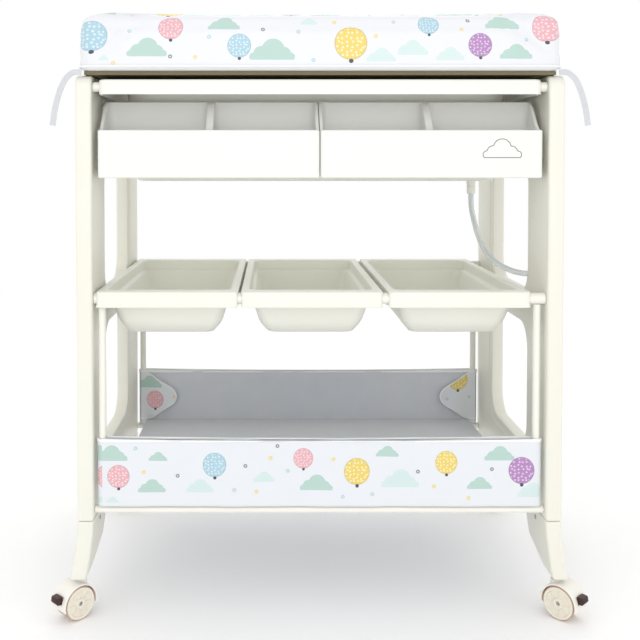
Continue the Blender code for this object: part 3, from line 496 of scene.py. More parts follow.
def roundedRing(halfX, halfY, radii, cornerSteps=6, sideSteps=(1, 1)):
    # a rounded rectangle about the origin; one radius, or four counter-clockwise from the +x +y corner;
    # sideSteps are the spans along x and along y
    angles = np.linspace(0, math.pi / 2, cornerSteps + 1)
    arcs = []
    quarters = ((1, 1), (-1, 1), (-1, -1), (1, -1))
    for quarter, ((sx, sy), radius) in enumerate(zip(quarters, np.broadcast_to(radii, 4))):
        turn = angles + quarter * math.pi / 2
        middle = np.array([sx * (halfX - radius), sy * (halfY - radius)])
        arcs.append(middle + radius * np.stack([np.cos(turn), np.sin(turn)], axis=-1))
    ring = []
    for quarter, (here, following) in enumerate(zip(arcs, arcs[1:] + arcs[:1])):
        ring.append(here)
        spans = sideSteps[quarter % 2]
        if spans > 1:
            t = np.linspace(0, 1, spans + 1)[1:-1, None]
            ring.append(here[-1] * (1 - t) + following[0] * t)
    return np.concatenate(ring)


def latheMesh(name, profile, centre, axis, material, body, steps=48, sharp=35.0):
    # a profile of (radius, height) turned about an axis: point = centre + height * axis + radius * (turned side)
    profile = np.asarray(profile, dtype=float)
    axis = np.asarray(axis, dtype=float)
    axis = axis / np.linalg.norm(axis)
    side = np.cross(axis, (0, 0, 1.0) if abs(axis[2]) < 0.9 else (1.0, 0, 0))
    side = side / np.linalg.norm(side)
    other = np.cross(axis, side)
    turn = np.linspace(0, 2 * math.pi, steps, endpoint=False)
    spoke = np.cos(turn)[:, None] * side + np.sin(turn)[:, None] * other
    points = (np.asarray(centre) + profile[:, None, 1:2] * axis + profile[:, None, 0:1] * spoke).reshape(-1, 3)
    closedProfile = profile[0][0] > 1e-6
    faces = gridFaces(len(profile), steps, wrapRows=closedProfile)
    return makeMesh(name, points, faces, material, body, sharp=sharp)


def tubeMesh(name, route, radius, material, body, sides=32):
    # a round section carried along a route of points, with its ends closed; frames turn as little as they can
    route = np.asarray(route, dtype=float)
    ahead = headings(route)
    side = np.cross(ahead[0], (0.3, 0.2, 0.9))
    side /= np.linalg.norm(side)
    turn = np.linspace(0, 2 * math.pi, sides, endpoint=False)
    rings, uvs = [], []
    for i, (point, direction, along) in enumerate(zip(route, ahead, runAlong(route))):
        side = side - direction * side.dot(direction)
        side /= np.linalg.norm(side)
        other = np.cross(direction, side)
        reach = radius if np.isscalar(radius) else radius[i]
        rings.append(point + reach * (np.cos(turn)[:, None] * side + np.sin(turn)[:, None] * other))
        uvs.append(np.stack([np.full(sides, along), turn * (radius if np.isscalar(radius) else 0.005)], axis=-1))
    points = np.concatenate(rings)
    faces = gridFaces(len(rings), sides)
    faces.append(list(range(sides))[::-1])
    faces.append(list(range(len(points) - sides, len(points))))
    return makeMesh(name, points, faces, material, body, uv=np.concatenate(uvs), sharp=50.0)


def boxOf(node):
    # a node's lower and upper corners and its middle
    low, high = (np.array(corner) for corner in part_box(node))
    return low, high, (low + high) / 2


def standFor(piece, nodes):
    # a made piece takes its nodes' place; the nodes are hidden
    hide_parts(*nodes)
    return piece


def fillBetween(rings):
    # triangles between an outer loop and the loops inside it, all given as flat (u, v) arrays;
    # a triangle with all three corners on one inner loop lies in a hole and is dropped
    flat = np.concatenate(rings)
    edges, owner, start = [], [], 0
    for number, loop in enumerate(rings):
        count = len(loop)
        edges += [(start + i, start + (i + 1) % count) for i in range(count)]
        owner += [number] * count
        start += count
    made = delaunay_2d_cdt([Vector(p) for p in flat.tolist()], edges, [], 1, 1e-7, True)
    origin = [ids[0] if ids else -1 for ids in made[3]]
    triangles = []
    for face in made[2]:
        corner = [origin[v] for v in face]
        owners = {owner[c] for c in corner}
        if -1 not in corner and not (len(owners) == 1 and 0 not in owners):
            triangles.append(corner)
    return triangles


def quarterRound(radius, steps=4):
    # (inset, drop) points round an edge, from the flat face to the side wall; drop is how far below the face
    turn = np.linspace(0, math.pi / 2, steps + 1)
    return [(radius * (1 - math.sin(a)), radius * (1 - math.cos(a))) for a in turn]


# side frames
sideFrame = {"inner": 0.366, "thick": 0.026, "corner": 0.018, "foot corner": 0.0035, "edge": 0.0045,
             "bottom": 0.1622, "top": 0.883, "leg": 0.122, "windows": ((0.515, 0.748), (0.243, 0.460)),
             "window radius": 0.045, "lip": 0.0014, "lip width": 0.014, "window edge": 0.003}


def makeSideFrame(side):
    # contour rings stepped across the thickness; outer edge rounded, windows edged by a shallow sunk lip
    d, sign = sideFrame, sideSigns[side]
    halfY, halfZ = frameHalfDepth, (d["top"] - d["bottom"]) / 2
    middleZ = (d["top"] + d["bottom"]) / 2
    face = d["thick"] / 2

    def outerRing(inset):
        radii = [max(d[key] - inset, 0.0008) for key in ("corner", "corner", "foot corner", "foot corner")]
        return roundedRing(halfY - inset, halfZ - inset, radii, 8, (1, 1)) + (0, middleZ)

    def windowRing(number, inset):
        low, high = d["windows"][number]
        return roundedRing(halfY - d["leg"] + inset, (high - low) / 2 + inset, d["window radius"] + inset, 12) \
            + (0, (high + low) / 2)

    outerSteps = [(d["edge"] + 0.0006, 0.0)] + [(i, drop) for i, drop in quarterRound(d["edge"], 5)]
    lipSteps = [(d["lip width"] + 0.0030, 0.0), (d["lip width"] + 0.0018, 0.0002),
                (d["lip width"] + 0.0008, d["lip"] - 0.0002), (d["lip width"], d["lip"]),
                (d["window edge"] + 0.0006, d["lip"])]
    lipSteps += [(i, drop + d["lip"]) for i, drop in quarterRound(d["window edge"], 4)]
    points, faces = [], []

    def addContour(ringAt, steps):
        # front-face rings, then the same mirrored to the back face; returns the first and last rings' indices
        across = [(inset, face - drop) for inset, drop in steps]
        across += [(inset, -x) for inset, x in across[::-1]]
        start = len(points)
        count = 0
        for inset, x in across:
            loop = ringAt(inset)
            count = len(loop)
            points.extend(np.column_stack([np.full(count, x), loop]).tolist())
        faces.extend((np.array(gridFaces(len(across), count)) + start).tolist())
        return start, start + (len(across) - 1) * count, count

    rings = [addContour(outerRing, outerSteps)]
    rings += [addContour(lambda inset, n=n: windowRing(n, inset), lipSteps) for n in (0, 1)]
    for end in (0, 1):
        index = np.concatenate([np.arange(r[end], r[end] + r[2]) for r in rings])
        loops = [np.array(points)[r[end]:r[end] + r[2], 1:] for r in rings]
        faces.extend(index[np.array(fillBetween(loops))].tolist())
    placed = np.array(points)
    placed[:, 0] += sign * (d["inner"] + face)
    piece = makeMesh("side_frame_moulding_" + side, placed, faces, framePolypropylene, "root", sharp=50)
    return standFor(piece, ["side_frame_" + side])


for side in sideSigns:
    makeSideFrame(side)


# feet
foot = {"top": 0.1617, "bottom": 0.066, "toe": 0.048, "heel": 0.096, "flare": 0.013, "corner": 0.0042,
        "edge": 0.0028}


def makeFoot(end, side):
    # rounded sections stacked downwards; they step outwards with drop to the power 1.6 and taper behind to the toe
    d, sign, forward = foot, sideSigns[side], endSigns[end]
    face = sideFrame["thick"] / 2
    heights = [(d["top"] - drop, inset) for inset, drop in quarterRound(d["edge"], 4)]
    heights += [(z, 0.0) for z in np.linspace(d["top"] - d["edge"] - 0.001, d["heel"] + 0.002, 14)]
    heights += [(z, 0.0) for z in np.linspace(d["heel"], d["bottom"] + d["edge"], 10)]
    heights += [(d["bottom"] + drop, inset) for inset, drop in quarterRound(d["edge"], 4)[::-1][1:]]
    rows = []
    for z, inset in heights:
        fall = np.clip((d["heel"] - z) / (d["heel"] - d["bottom"]), 0, 1)
        depth = sideFrame["leg"] + (d["toe"] - sideFrame["leg"]) * fall
        drop = (d["top"] - z) / (d["top"] - d["bottom"])
        loop = roundedRing(face - inset, depth / 2 - inset, d["corner"] - 0.6 * inset, 6)
        x = sign * (sideFrame["inner"] + face + d["flare"] * max(drop, 0) ** 1.6)
        y = forward * (frameHalfDepth - depth / 2)
        rows.append(np.column_stack([loop[:, 0] + x, loop[:, 1] + y, np.full(len(loop), z)]))
    count = len(rows[0])
    faces = cappedFaces(len(rows), count)
    piece = makeMesh(f"foot_moulding_{end}_{side}", np.concatenate(rows), faces, framePolypropylene, "root",
                     sharp=45)
    return standFor(piece, [f"foot_{end}_{side}"])


for end, side in corners:
    makeFoot(end, side)
print("side frames and feet are moulded")


# cross tubes, rails and posts
tubes = {"tub_tube_front": 0.008, "tub_tube_rear": 0.008, "shelf_tube_front": 0.009, "shelf_tube_rear": 0.009,
         "basket_rail_front": 0.006, "basket_rail_rear": 0.006, "tray_rail": 0.006, "tray_rest_rail": 0.004}
screw = {"head": 0.0052, "rise": 0.0017, "tube heights": (0.8647, 0.5227, 0.1775), "foot": (0.3664, 0.186, 0.147)}


def makeScrew(name, place, axis, body, size=1.0):
    # a pan head with a cross recess, turned as a low dome over a sunk cup
    head, rise = screw["head"] * size, screw["rise"] * size
    profile = [(0.0, 0.35 * rise), (0.22 * head, 0.36 * rise), (0.34 * head, 0.95 * rise),
               (0.6 * head, 0.88 * rise), (0.85 * head, 0.62 * rise), (0.98 * head, 0.22 * rise), (head, 0.0),
               (0.0, -0.0004)]
    piece = latheMesh(name, profile, place, axis, zincSteel, body, 24, 30)
    return piece


def makeBar(name, start, end, radius, nodes):
    # a straight tube whose ends are turned in over a millimetre
    start, end = np.array(start), np.array(end)
    length = np.linalg.norm(end - start)
    t = np.array([0, 0.0006, 0.0012, 0.0030, length - 0.0030, length - 0.0012, length - 0.0006, length]) / length
    route = start + (end - start) * t[:, None]
    reach = radius * np.array([0.88, 0.96, 1, 1, 1, 1, 0.96, 0.88])
    return standFor(tubeMesh(name, route, reach, tubePaint, "root"), nodes)


for node, radius in tubes.items():
    low, high, centre = boxOf(node)
    makeBar("painted_" + node, (low[0], centre[1], centre[2]), (high[0], centre[1], centre[2]), radius, [node])
for end, side in corners:
    node = f"basket_post_{end}_{side}"
    low, high, centre = boxOf(node)
    makeBar("painted_" + node, (centre[0], centre[1], low[2]), (centre[0], centre[1], high[2]), 0.006, [node])

# screws through the legs into the tubes' ends, and one into each foot's inner face
for side, sign in sideSigns.items():
    for end, forward in endSigns.items():
        for height in screw["tube heights"]:
            makeScrew(f"tube_screw_{end}_{side}_{int(height * 1000)}",
                      (sign * (sideFrame["inner"] + sideFrame["thick"]), forward * tubeLine, height),
                      (sign, 0, 0), "root", 0.9)
        x, y, height = screw["foot"]
        makeScrew(f"foot_screw_{end}_{side}", (sign * x, forward * y, height), (-sign, 0, 0), "root", 0.8)
print("tubes and screws are in")


def doubleWall(name, stations, wall, material, body, cornerSteps=8, sideSteps=(1, 1), holes=(), centre=(0, 0),
               span=(0, 0), sharp=40):
    # stations are (inset across, inset in depth, corner radius, height) down a moulding's upper or inner side;
    # a second skin lies one wall behind, along the side profile's normal; holes are (x, y, radius) in the floor
    stations = np.asarray(stations, dtype=float)
    profile = np.column_stack([(stations[:, 0] + stations[:, 1]) / 2, stations[:, 3]])
    ahead = np.gradient(profile, axis=0)
    ahead /= np.maximum(np.linalg.norm(ahead, axis=1), 1e-9)[:, None]
    normal = np.column_stack([ahead[:, 1], -ahead[:, 0]])          # towards the hidden side
    behind = stations.copy()
    behind[:, 0] -= wall * -normal[:, 0]
    behind[:, 1] -= wall * -normal[:, 0]
    behind[:, 2] = np.maximum(stations[:, 2] - wall * normal[:, 0], 0.002)
    behind[:, 3] += wall * normal[:, 1]
    rows = np.concatenate([behind[::-1], stations])
    halfX, halfY = span
    loops = []
    for insetX, insetY, radius, z in rows:
        loop = roundedRing(halfX - insetX, halfY - insetY, radius, cornerSteps, sideSteps) + centre
        loops.append(atHeight(loop, z))
    count = len(loops[0])
    points = np.concatenate(loops).tolist()
    faces = gridFaces(len(loops), count)
    holeRows = []
    sides = 40
    turn = np.linspace(0, 2 * math.pi, sides, endpoint=False)
    for x, y, radius in holes:
        circle = np.column_stack([x + radius * np.cos(turn), y + radius * np.sin(turn)])
        starts = []
        for z in (rows[0][3], rows[-1][3]):
            starts.append(len(points))
            points.extend(atHeight(circle, z).tolist())
        holeRows.append((circle, starts))
        faces.extend([[starts[0] + i, starts[0] + (i + 1) % sides, starts[1] + (i + 1) % sides, starts[1] + i]
                      for i in range(sides)])
    for end, first in ((0, 0), (1, (len(loops) - 1) * count)):
        if holeRows:
            rings = [loops[0 if end == 0 else -1][:, :2]] + [circle for circle, starts in holeRows]
            index = np.concatenate([np.arange(first, first + count)]
                                   + [np.arange(starts[end], starts[end] + sides) for circle, starts in holeRows])
            faces.extend(index[np.array(fillBetween(rings))].tolist())
        else:
            faces.append(list(range(first, first + count)))
    return makeMesh(name, points, faces, material, body, sharp=sharp)


def cutAway(piece, cutters):
    # differences with closed cutter meshes, which are thrown away afterwards
    for number, cutter in enumerate(cutters):
        step = piece.modifiers.new(f"cut_{number}", "BOOLEAN")
        step.operation = "DIFFERENCE"
        step.solver = "FAST"
        step.object = cutter
    bpy.context.view_layer.update()
    made = bpy.data.meshes.new_from_object(piece.evaluated_get(bpy.context.evaluated_depsgraph_get()))
    piece.modifiers.clear()
    piece.data = made
    made.shade_smooth()
    made.set_sharp_from_angle(angle=math.radians(35))
    for cutter in cutters:
        bpy.data.objects.remove(cutter, do_unlink=True)
    return piece


def blockBetween(name, low, high, material=tubePaint):
    # a plain closed block between two corners
    low, high = np.array(low), np.array(high)
    corner = np.array([[x, y, z] for x in (0, 1) for y in (0, 1) for z in (0, 1)])
    faces = [(0, 1, 3, 2), (4, 6, 7, 5), (0, 4, 5, 1), (2, 3, 7, 6), (0, 2, 6, 4), (1, 5, 7, 3)]
    return makeMesh(name, low + corner * (high - low), faces, material, None)


# bath tub
tub = {"half": 0.355, "lip": 0.852, "top": 0.876, "floor": 0.713, "wall": 0.0029, "drain": (0.296, 0.001),
       "tube height": 0.8647, "tube depth": tubeLine, "tube reach": 0.0083}


def makeTub():
    # the rim turns down all round; flange, shoulder and floor are eased into each other
    d = tub
    outline = [(0.0, 0.0, 0.012, d["lip"]), (0.0, 0.0, 0.012, d["top"]), (0.025, 0.098, 0.050, d["top"]),
               (0.027, 0.104, 0.050, 0.856), (0.030, 0.118, 0.050, 0.763), (0.034, 0.132, 0.040, 0.722),
               (0.042, 0.140, 0.032, d["floor"])]
    stations = roundedCorner(outline, [0, 0.005, 0.009, 0.010, 0.010, 0.009, 0], 6)
    stations = np.concatenate([stations, [[0.0425, 0.1405, 0.0318, d["floor"]]]])
    piece = doubleWall("bath_tub_moulding", stations, d["wall"], tubPolypropylene, "root", 10, (6, 4),
                       [(*d["drain"], 0.0089)], span=(d["half"], frameHalfDepth))
    cutters = [blockBetween(f"tub_notch_{end}", (-0.37, forward * d["tube depth"] - d["tube reach"], 0.82),
                            (0.37, forward * d["tube depth"] + d["tube reach"], d["tube height"] + 0.0082))
               for end, forward in endSigns.items()]
    return standFor(cutAway(piece, cutters), ["bath_tub"])


makeTub()

drain = {"seat": 0.7133, "end": 0.6835, "bore": 0.0055, "outside": 0.0085, "flange": 0.014}


def makeDrain():
    # a spout with a flange and two hose barbs, and the plug with its pull
    d = drain
    x, y = tub["drain"]
    top = d["seat"] + 0.002
    spout = [(d["bore"], top - 0.0006), (d["bore"] + 0.0006, top), (d["flange"] - 0.0008, top),
             (d["flange"], top - 0.0008), (d["flange"], d["seat"]), (d["outside"], d["seat"]),
             (d["outside"], 0.703), (0.0078, 0.7018), (0.0078, 0.6990), (0.0085, 0.6965), (0.0078, 0.6962),
             (0.0078, 0.6925), (0.0085, 0.6900), (0.0078, 0.6897), (0.0074, 0.6845), (0.0066, d["end"]),
             (d["bore"], d["end"])]
    standFor(latheMesh("drain_spout_moulding", spout, (x, y, 0), (0, 0, 1), tubPolypropylene, "root", 48),
             ["drain_spout"])
    low = top + 0.0003
    plug = [(0.0, low + 0.0034), (0.0022, low + 0.0036), (0.0030, low + 0.0024), (0.0052, low + 0.0022),
            (0.0066, low + 0.0038), (0.0080, low + 0.0038), (0.0089, low + 0.0026), (0.0090, low + 0.0004),
            (0.0086, low), (0.0052, low), (0.0050, low - 0.0018), (0.0052, low - 0.0030), (0.0050, low - 0.0048),
            (0.0048, low - 0.0085), (0.0042, low - 0.0090), (0.0, low - 0.0090)]
    standFor(latheMesh("drain_plug_moulding", plug, (x, y, 0), (0, 0, 1), whiteRubber, "drain_plug", 48),
             ["drain_plug"])


makeDrain()
print("tub and drain are moulded")


# trays
tray = {"inner": 0.0005, "outer": 0.3565, "depth": 0.080, "bottom": 0.718, "floor": 0.7212, "low": 0.795,
        "high": 0.844, "rise": (0.010, 0.074), "wall": 0.0055, "divider": 0.012, "corner": 0.0060, "edge": 0.0022,
        "pocket corner": 0.010, "jaw": 0.110, "jaw width": 0.014, "rail": (0.092, 0.834), "rail radius": 0.0063,
        "jaw radius": 0.0080}


def trayHeight(depth):
    # low at the front, an S curve up to the rear wall
    t = np.clip((depth - tray["rise"][0]) / (tray["rise"][1] - tray["rise"][0]), 0, 1)
    return tray["low"] + (tray["high"] - tray["low"]) * t * t * (3 - 2 * t)


def makeTray(side):
    # outer shell up to the curved top, a land between it and two pockets, and two spring jaws behind
    d, sign = tray, sideSigns[side]
    half = (d["outer"] - d["inner"]) / 2
    middle = sign * (d["outer"] + d["inner"]) / 2
    halfDepth = d["depth"] / 2
    points, faces = [], []

    def ring(halfX, halfY, radius, x=0.0):
        return roundedRing(halfX, halfY, radius, 7, (1, 26)) + (x, 0)

    def addLoops(loops):
        start = len(points)
        for loop in loops:
            points.extend(loop.tolist())
        count = len(loops[0])
        faces.extend((np.array(gridFaces(len(loops), count)) + start).tolist())
        return start, start + (len(loops) - 1) * count, count

    def curved(loop, drop):
        return np.column_stack([loop, trayHeight(loop[:, 1] + halfDepth) - drop])

    outer = [atHeight(ring(half - inset, halfDepth - inset, d["corner"] - inset), d["bottom"] + drop)
             for inset, drop in [(0.0045, 0.0)] + quarterRound(0.0030, 4)]
    outer += [curved(ring(half, halfDepth, d["corner"]), d["edge"] + 0.0008)]
    outer += [curved(ring(half - inset, halfDepth - inset, d["corner"] - inset), drop)
              for inset, drop in quarterRound(d["edge"], 4)[::-1]]
    outerLoops = addLoops(outer)
    faces.append(list(range(outerLoops[0], outerLoops[0] + outerLoops[2])))
    pocketHalf = (2 * half - 2 * d["wall"] - d["divider"]) / 4
    rims = []
    for hand in (-1, 1):
        x = hand * (d["divider"] / 2 + pocketHalf)
        reach = halfDepth - d["wall"]
        loops = [curved(ring(pocketHalf + inset, reach + inset, d["pocket corner"] + inset, x), drop)
                 for inset, drop in quarterRound(0.0018, 4)]
        loops += [atHeight(ring(pocketHalf - 0.0012, reach - 0.0012, d["pocket corner"] - 0.0010, x), z)
                  for z in (0.786, 0.732)]
        loops += [atHeight(ring(pocketHalf - 0.0018 - inset, reach - 0.0018 - inset,
                             max(d["pocket corner"] - 0.001 - inset, 0.002), x), d["floor"] + drop)
                  for inset, drop in quarterRound(0.0070, 5)[::-1]]
        made = addLoops(loops)
        faces.append(list(range(made[1], made[1] + made[2])))
        rims.append(made)
    land = [(outerLoops[1], outerLoops[2])] + [(made[0], made[2]) for made in rims]
    cornerList = np.array(points)
    index = np.concatenate([np.arange(start, start + count) for start, count in land])
    loops = [cornerList[start:start + count, :2] for start, count in land]
    faces.extend(index[np.array(fillBetween(loops))].tolist())
    placed = cornerList + (middle, -frameHalfDepth + halfDepth, 0)
    shell = makeMesh("tray_shell_" + side, placed, faces, trayPolypropylene, None, sharp=50)
    jaws = [makeJaw(f"jaw_{side}_{i}", middle + offset) for i, offset in enumerate((-d["jaw"], d["jaw"]))]
    piece = joined("tray_moulding_" + side, [shell] + jaws)
    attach(piece, "tray_" + side)
    return standFor(piece, ["tray_" + side])


def makeJaw(name, x):
    # an open ring of 184 degrees round the rail, with a root that reaches into the tray's rear wall
    d = tray
    y, z = d["rail"][0] - frameHalfDepth, d["rail"][1]
    turn = np.radians(np.linspace(88, 272, 25))
    outer = np.column_stack([np.cos(turn), np.sin(turn)]) * d["jaw radius"]
    inner = np.column_stack([np.cos(turn), np.sin(turn)])[::-1] * d["rail radius"]
    outline = np.concatenate([outer, inner]) + (y, z)
    count = len(outline)
    points = np.concatenate([np.column_stack([np.full(count, x + s * d["jaw width"] / 2), outline])
                             for s in (-1, 1)])
    faces = gridFaces(2, count)
    for start in (0, count):
        faces += [[start + i, start + i + 1, start + count - 2 - i, start + count - 1 - i]
                  for i in range(len(turn) - 1)]
    clip = makeMesh(name, points, faces, trayPolypropylene, None)
    root = blockBetween(name + "_root", (x - d["jaw width"] / 2, -frameHalfDepth + d["depth"] - 0.002, z - 0.004),
                        (x + d["jaw width"] / 2, y - d["rail radius"] - 0.0004, z + 0.004), trayPolypropylene)
    return joined(name + "_whole", [clip, root])


for side in sideSigns:
    makeTray(side)
print("trays are moulded")


# bins
storageBin = {"width": 0.231, "front": 0.002, "rear": 0.488, "skirt": 0.509, "top": 0.535, "floor": 0.461,
              "wall": 0.0027, "centres": {"left": -0.2465, "middle": -0.0125, "right": 0.2255},
              "tube height": 0.5227, "tube depth": tubeLine, "tube reach": 0.0093}


def makeBin(label):
    # a turned-down rim with a bead along its edge, a step under the flange, and a tapering pocket
    d = storageBin
    centre = d["centres"][label]
    halfX, halfY = d["width"] / 2, (d["rear"] - d["front"]) / 2
    outline = [(0.0010, 0.0010, 0.007, d["skirt"]), (0.0, 0.0, 0.008, d["skirt"] + 0.0006),
               (0.0, 0.0, 0.008, d["skirt"] + 0.0032), (0.0009, 0.0009, 0.0075, d["skirt"] + 0.0046),
               (0.0006, 0.0006, 0.0078, d["top"]), (0.0140, 0.0280, 0.014, d["top"]),
               (0.0150, 0.0290, 0.014, 0.517),
               (0.0220, 0.0360, 0.014, 0.514), (0.0320, 0.0500, 0.018, 0.477), (0.0460, 0.0640, 0.012, d["floor"])]
    radii = [0, 0.0004, 0.0006, 0.0006, 0.0048, 0.0045, 0.0030, 0.0040, 0.0110, 0]
    stations = roundedCorner(outline, radii, 5)
    stations = np.concatenate([stations, [[0.0465, 0.0645, 0.0118, d["floor"]]]])
    piece = doubleWall("bin_shell_" + label, stations, d["wall"], binPolypropylene, None, 8, (4, 4),
                       centre=(centre, 0.0), span=(halfX, halfY))
    cutters = [blockBetween(f"bin_notch_{label}_{end}",
                            (centre - halfX - 0.01, forward * d["tube depth"] - d["tube reach"], 0.48),
                            (centre + halfX + 0.01, forward * d["tube depth"] + d["tube reach"],
                             d["tube height"] + 0.0092))
               for end, forward in endSigns.items()]
    cutAway(piece, cutters)
    piece.name = "bin_moulding_" + label
    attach(piece, "bin_" + label)
    return standFor(piece, ["bin_" + label])


for label in storageBin["centres"]:
    makeBin(label)
print("bins are moulded")


def castorPlace(points, end, side):
    # from the castor's own frame (axle along x, trailing to +y, swivel axis through the origin) to its corner
    turn = math.atan2(endSigns[end], sideSigns[side]) - math.pi / 2
    spin = np.array([[math.cos(turn), math.sin(turn), 0], [-math.sin(turn), math.cos(turn), 0], [0, 0, 1]])
    return np.asarray(points) @ spin + (sideSigns[side] * castor["stem x"], endSigns[end] * castor["stem y"], 0)


def moveMesh(piece, end, side):
    # moves a piece's points from the castor's frame to its corner
    count = len(piece.data.vertices)
    flat = np.zeros(count * 3)
    piece.data.vertices.foreach_get("co", flat)
    piece.data.vertices.foreach_set("co", castorPlace(flat.reshape(-1, 3), end, side).ravel())
    piece.data.update()
    return piece


def castorAxis(end, side, offset, face):
    # the point at offset along a castor's axle, and the axle's direction on that face
    here, origin, beyond = castorPlace([[offset, castor["trail"], castor["wheel"]], [0, 0, 0], [face, 0, 0]],
                                       end, side)
    return here, beyond - origin


def prism(name, outline, halfWidth, edge, material, body=None):
    # a (y, z) outline carried along x with its rims drawn in towards its middle by edge
    outline = np.asarray(outline, dtype=float)
    middle = outline.mean(axis=0)
    reach = np.linalg.norm(outline - middle, axis=1).max()
    rows = [(halfWidth, edge)] + [(halfWidth - drop, inset) for inset, drop in quarterRound(edge, 4)]
    rows += [(-x, inset) for x, inset in rows[::-1]]
    count = len(outline)
    points = np.concatenate([np.column_stack([np.full(count, x), middle + (outline - middle) * (1 - i / reach)])
                             for x, i in rows])
    faces = cappedFaces(len(rows), count)
    return makeMesh(name, points, faces, material, body, sharp=45)


# castors
castor = {"stem x": 0.3905, "stem y": 0.221, "trail": 0.013, "wheel": 0.027, "inner": 0.007, "width": 0.012,
          "hood": 0.031, "hood inner": 0.0287, "hood half": 0.0195, "web half": 0.0060, "boss": 0.0086, "ribs": 8}


def arcPoints(radius, start, end, steps, centre):
    turn = np.radians(np.linspace(start, end, steps + 1))
    return np.column_stack([np.cos(turn), np.sin(turn)]) * radius + centre


def makeHood(end, side):
    # a fender over both wheels, a web between them and a boss for the stem; the front ones have a lever slot
    d = castor
    axle = (d["trail"], d["wheel"])
    section = roundedRing((d["hood"] - d["hood inner"]) / 2, d["hood half"], 0.0009, 3)
    turn = np.radians(np.linspace(-12, 192, 70))
    mid = (d["hood"] + d["hood inner"]) / 2
    rows = [np.column_stack([section[:, 1], axle[0] + (mid + section[:, 0]) * math.cos(a),
                             axle[1] + (mid + section[:, 0]) * math.sin(a)]) for a in turn]
    count = len(section)
    faces = cappedFaces(len(rows), count)
    fender = makeMesh("fender", np.concatenate(rows), faces, hoodNylon, None)
    outline = np.concatenate([arcPoints(0.0297, -7, 187, 40, axle), arcPoints(0.012, 215, 325, 12, axle)])
    web = prism("web", outline, d["web half"], 0.0006, hoodNylon)
    if end == "front":
        for piece, half, start in ((fender, 0.0096, 0.0262), (web, 0.00605, 0.0205)):
            slot = blockBetween("slot", (-half, d["trail"] + start, 0.031), (half, d["trail"] + 0.040, 0.0465))
            cutAway(piece, [slot])
    boss = latheMesh("boss", [(0.0, 0.0500), (d["boss"] + 0.0012, 0.0500), (d["boss"], 0.0535), (d["boss"], 0.0578),
                              (d["boss"] - 0.0007, 0.0587), (0.0046, 0.0588), (0.0044, 0.0580), (0.0, 0.0580)],
                     (0, 0, 0), (0, 0, 1), hoodNylon, None, 40)
    band = np.concatenate([arcPoints(0.0200, 20, 160, 24, axle), arcPoints(0.0212, 160, 20, 24, axle)])
    ridge = prism("ridge", band, d["web half"] + 0.0004, 0.0002, hoodNylon)
    hood = moveMesh(joined(f"castor_hood_moulding_{end}_{side}", [fender, web, boss, ridge]), end, side)
    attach(hood, f"castor_{end}_{side}")
    return standFor(hood, [f"castor_hood_{end}_{side}"])


def makeWheel(end, side, hand):
    # a dished nylon disc with a hub and eight ribs, and a rubber tread pressed into a groove round it
    d = castor
    face = 1 if hand == "a" else -1
    low, wide = 0.0, d["width"]
    disc = [(0.0033, low), (0.0250, low), (0.0256, 0.0010), (0.0236, 0.0013), (0.0236, wide - 0.0017),
            (0.0254, wide - 0.0015), (0.0249, wide - 0.0006), (0.0232, wide - 0.0004), (0.0216, wide - 0.0006),
            (0.0206, wide - 0.0026), (0.0100, wide - 0.0032), (0.0090, wide - 0.0028), (0.0084, wide - 0.0006),
            (0.0078, wide), (0.0052, wide), (0.0046, wide - 0.0005), (0.0033, wide - 0.0008)]
    tread = [(0.0237, 0.0014), (0.0262, 0.0014), (0.0268, 0.0024), (d["wheel"], 0.0040),
             (d["wheel"], wide - 0.0042), (0.0268, wide - 0.0027), (0.0261, wide - 0.0017), (0.0237, wide - 0.0017)]
    centre, axis = castorAxis(end, side, face * d["inner"], face)
    parts = [latheMesh("disc", disc, centre, axis, castorNylon, None, 72),
             latheMesh("tread", tread, centre, axis, treadRubber, None, 72)]
    for number in range(d["ribs"]):
        a = 2 * math.pi * number / d["ribs"]
        spoke = np.array([[r * math.cos(a) + s * math.sin(a), r * math.sin(a) - s * math.cos(a)]
                          for r, s in ((0.0088, -0.0007), (0.0208, -0.0007), (0.0208, 0.0007), (0.0088, 0.0007))])
        block = [[face * (d["inner"] + h), d["trail"] + y, d["wheel"] + z]
                 for h in (wide - 0.0040, wide - 0.0014) for y, z in spoke]
        faces = [(0, 1, 2, 3), (4, 5, 6, 7), (0, 1, 5, 4), (1, 2, 6, 5), (2, 3, 7, 6), (3, 0, 4, 7)]
        parts.append(makeMesh("spoke", castorPlace(block, end, side), faces, castorNylon, None))
    wheel = joined(f"wheel_moulding_{end}_{side}_{hand}", parts)
    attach(wheel, f"wheel_{end}_{side}_{hand}")
    return standFor(wheel, [f"wheel_{end}_{side}_{hand}"])


def makeAxle(end, side):
    # a pin whose peened ends show in the hubs
    centre, axis = castorAxis(end, side, 0, 1)
    reach = 0.0165
    pin = [(0.0, -reach - 0.0007), (0.0018, -reach - 0.0005), (0.0029, -reach + 0.0006), (0.0029, reach - 0.0006),
           (0.0018, reach + 0.0005), (0.0, reach + 0.0007)]
    piece = latheMesh(f"axle_pin_{end}_{side}", pin, centre, axis, zincSteel, f"castor_{end}_{side}", 32, 30)
    return standFor(piece, [f"castor_axle_{end}_{side}"])


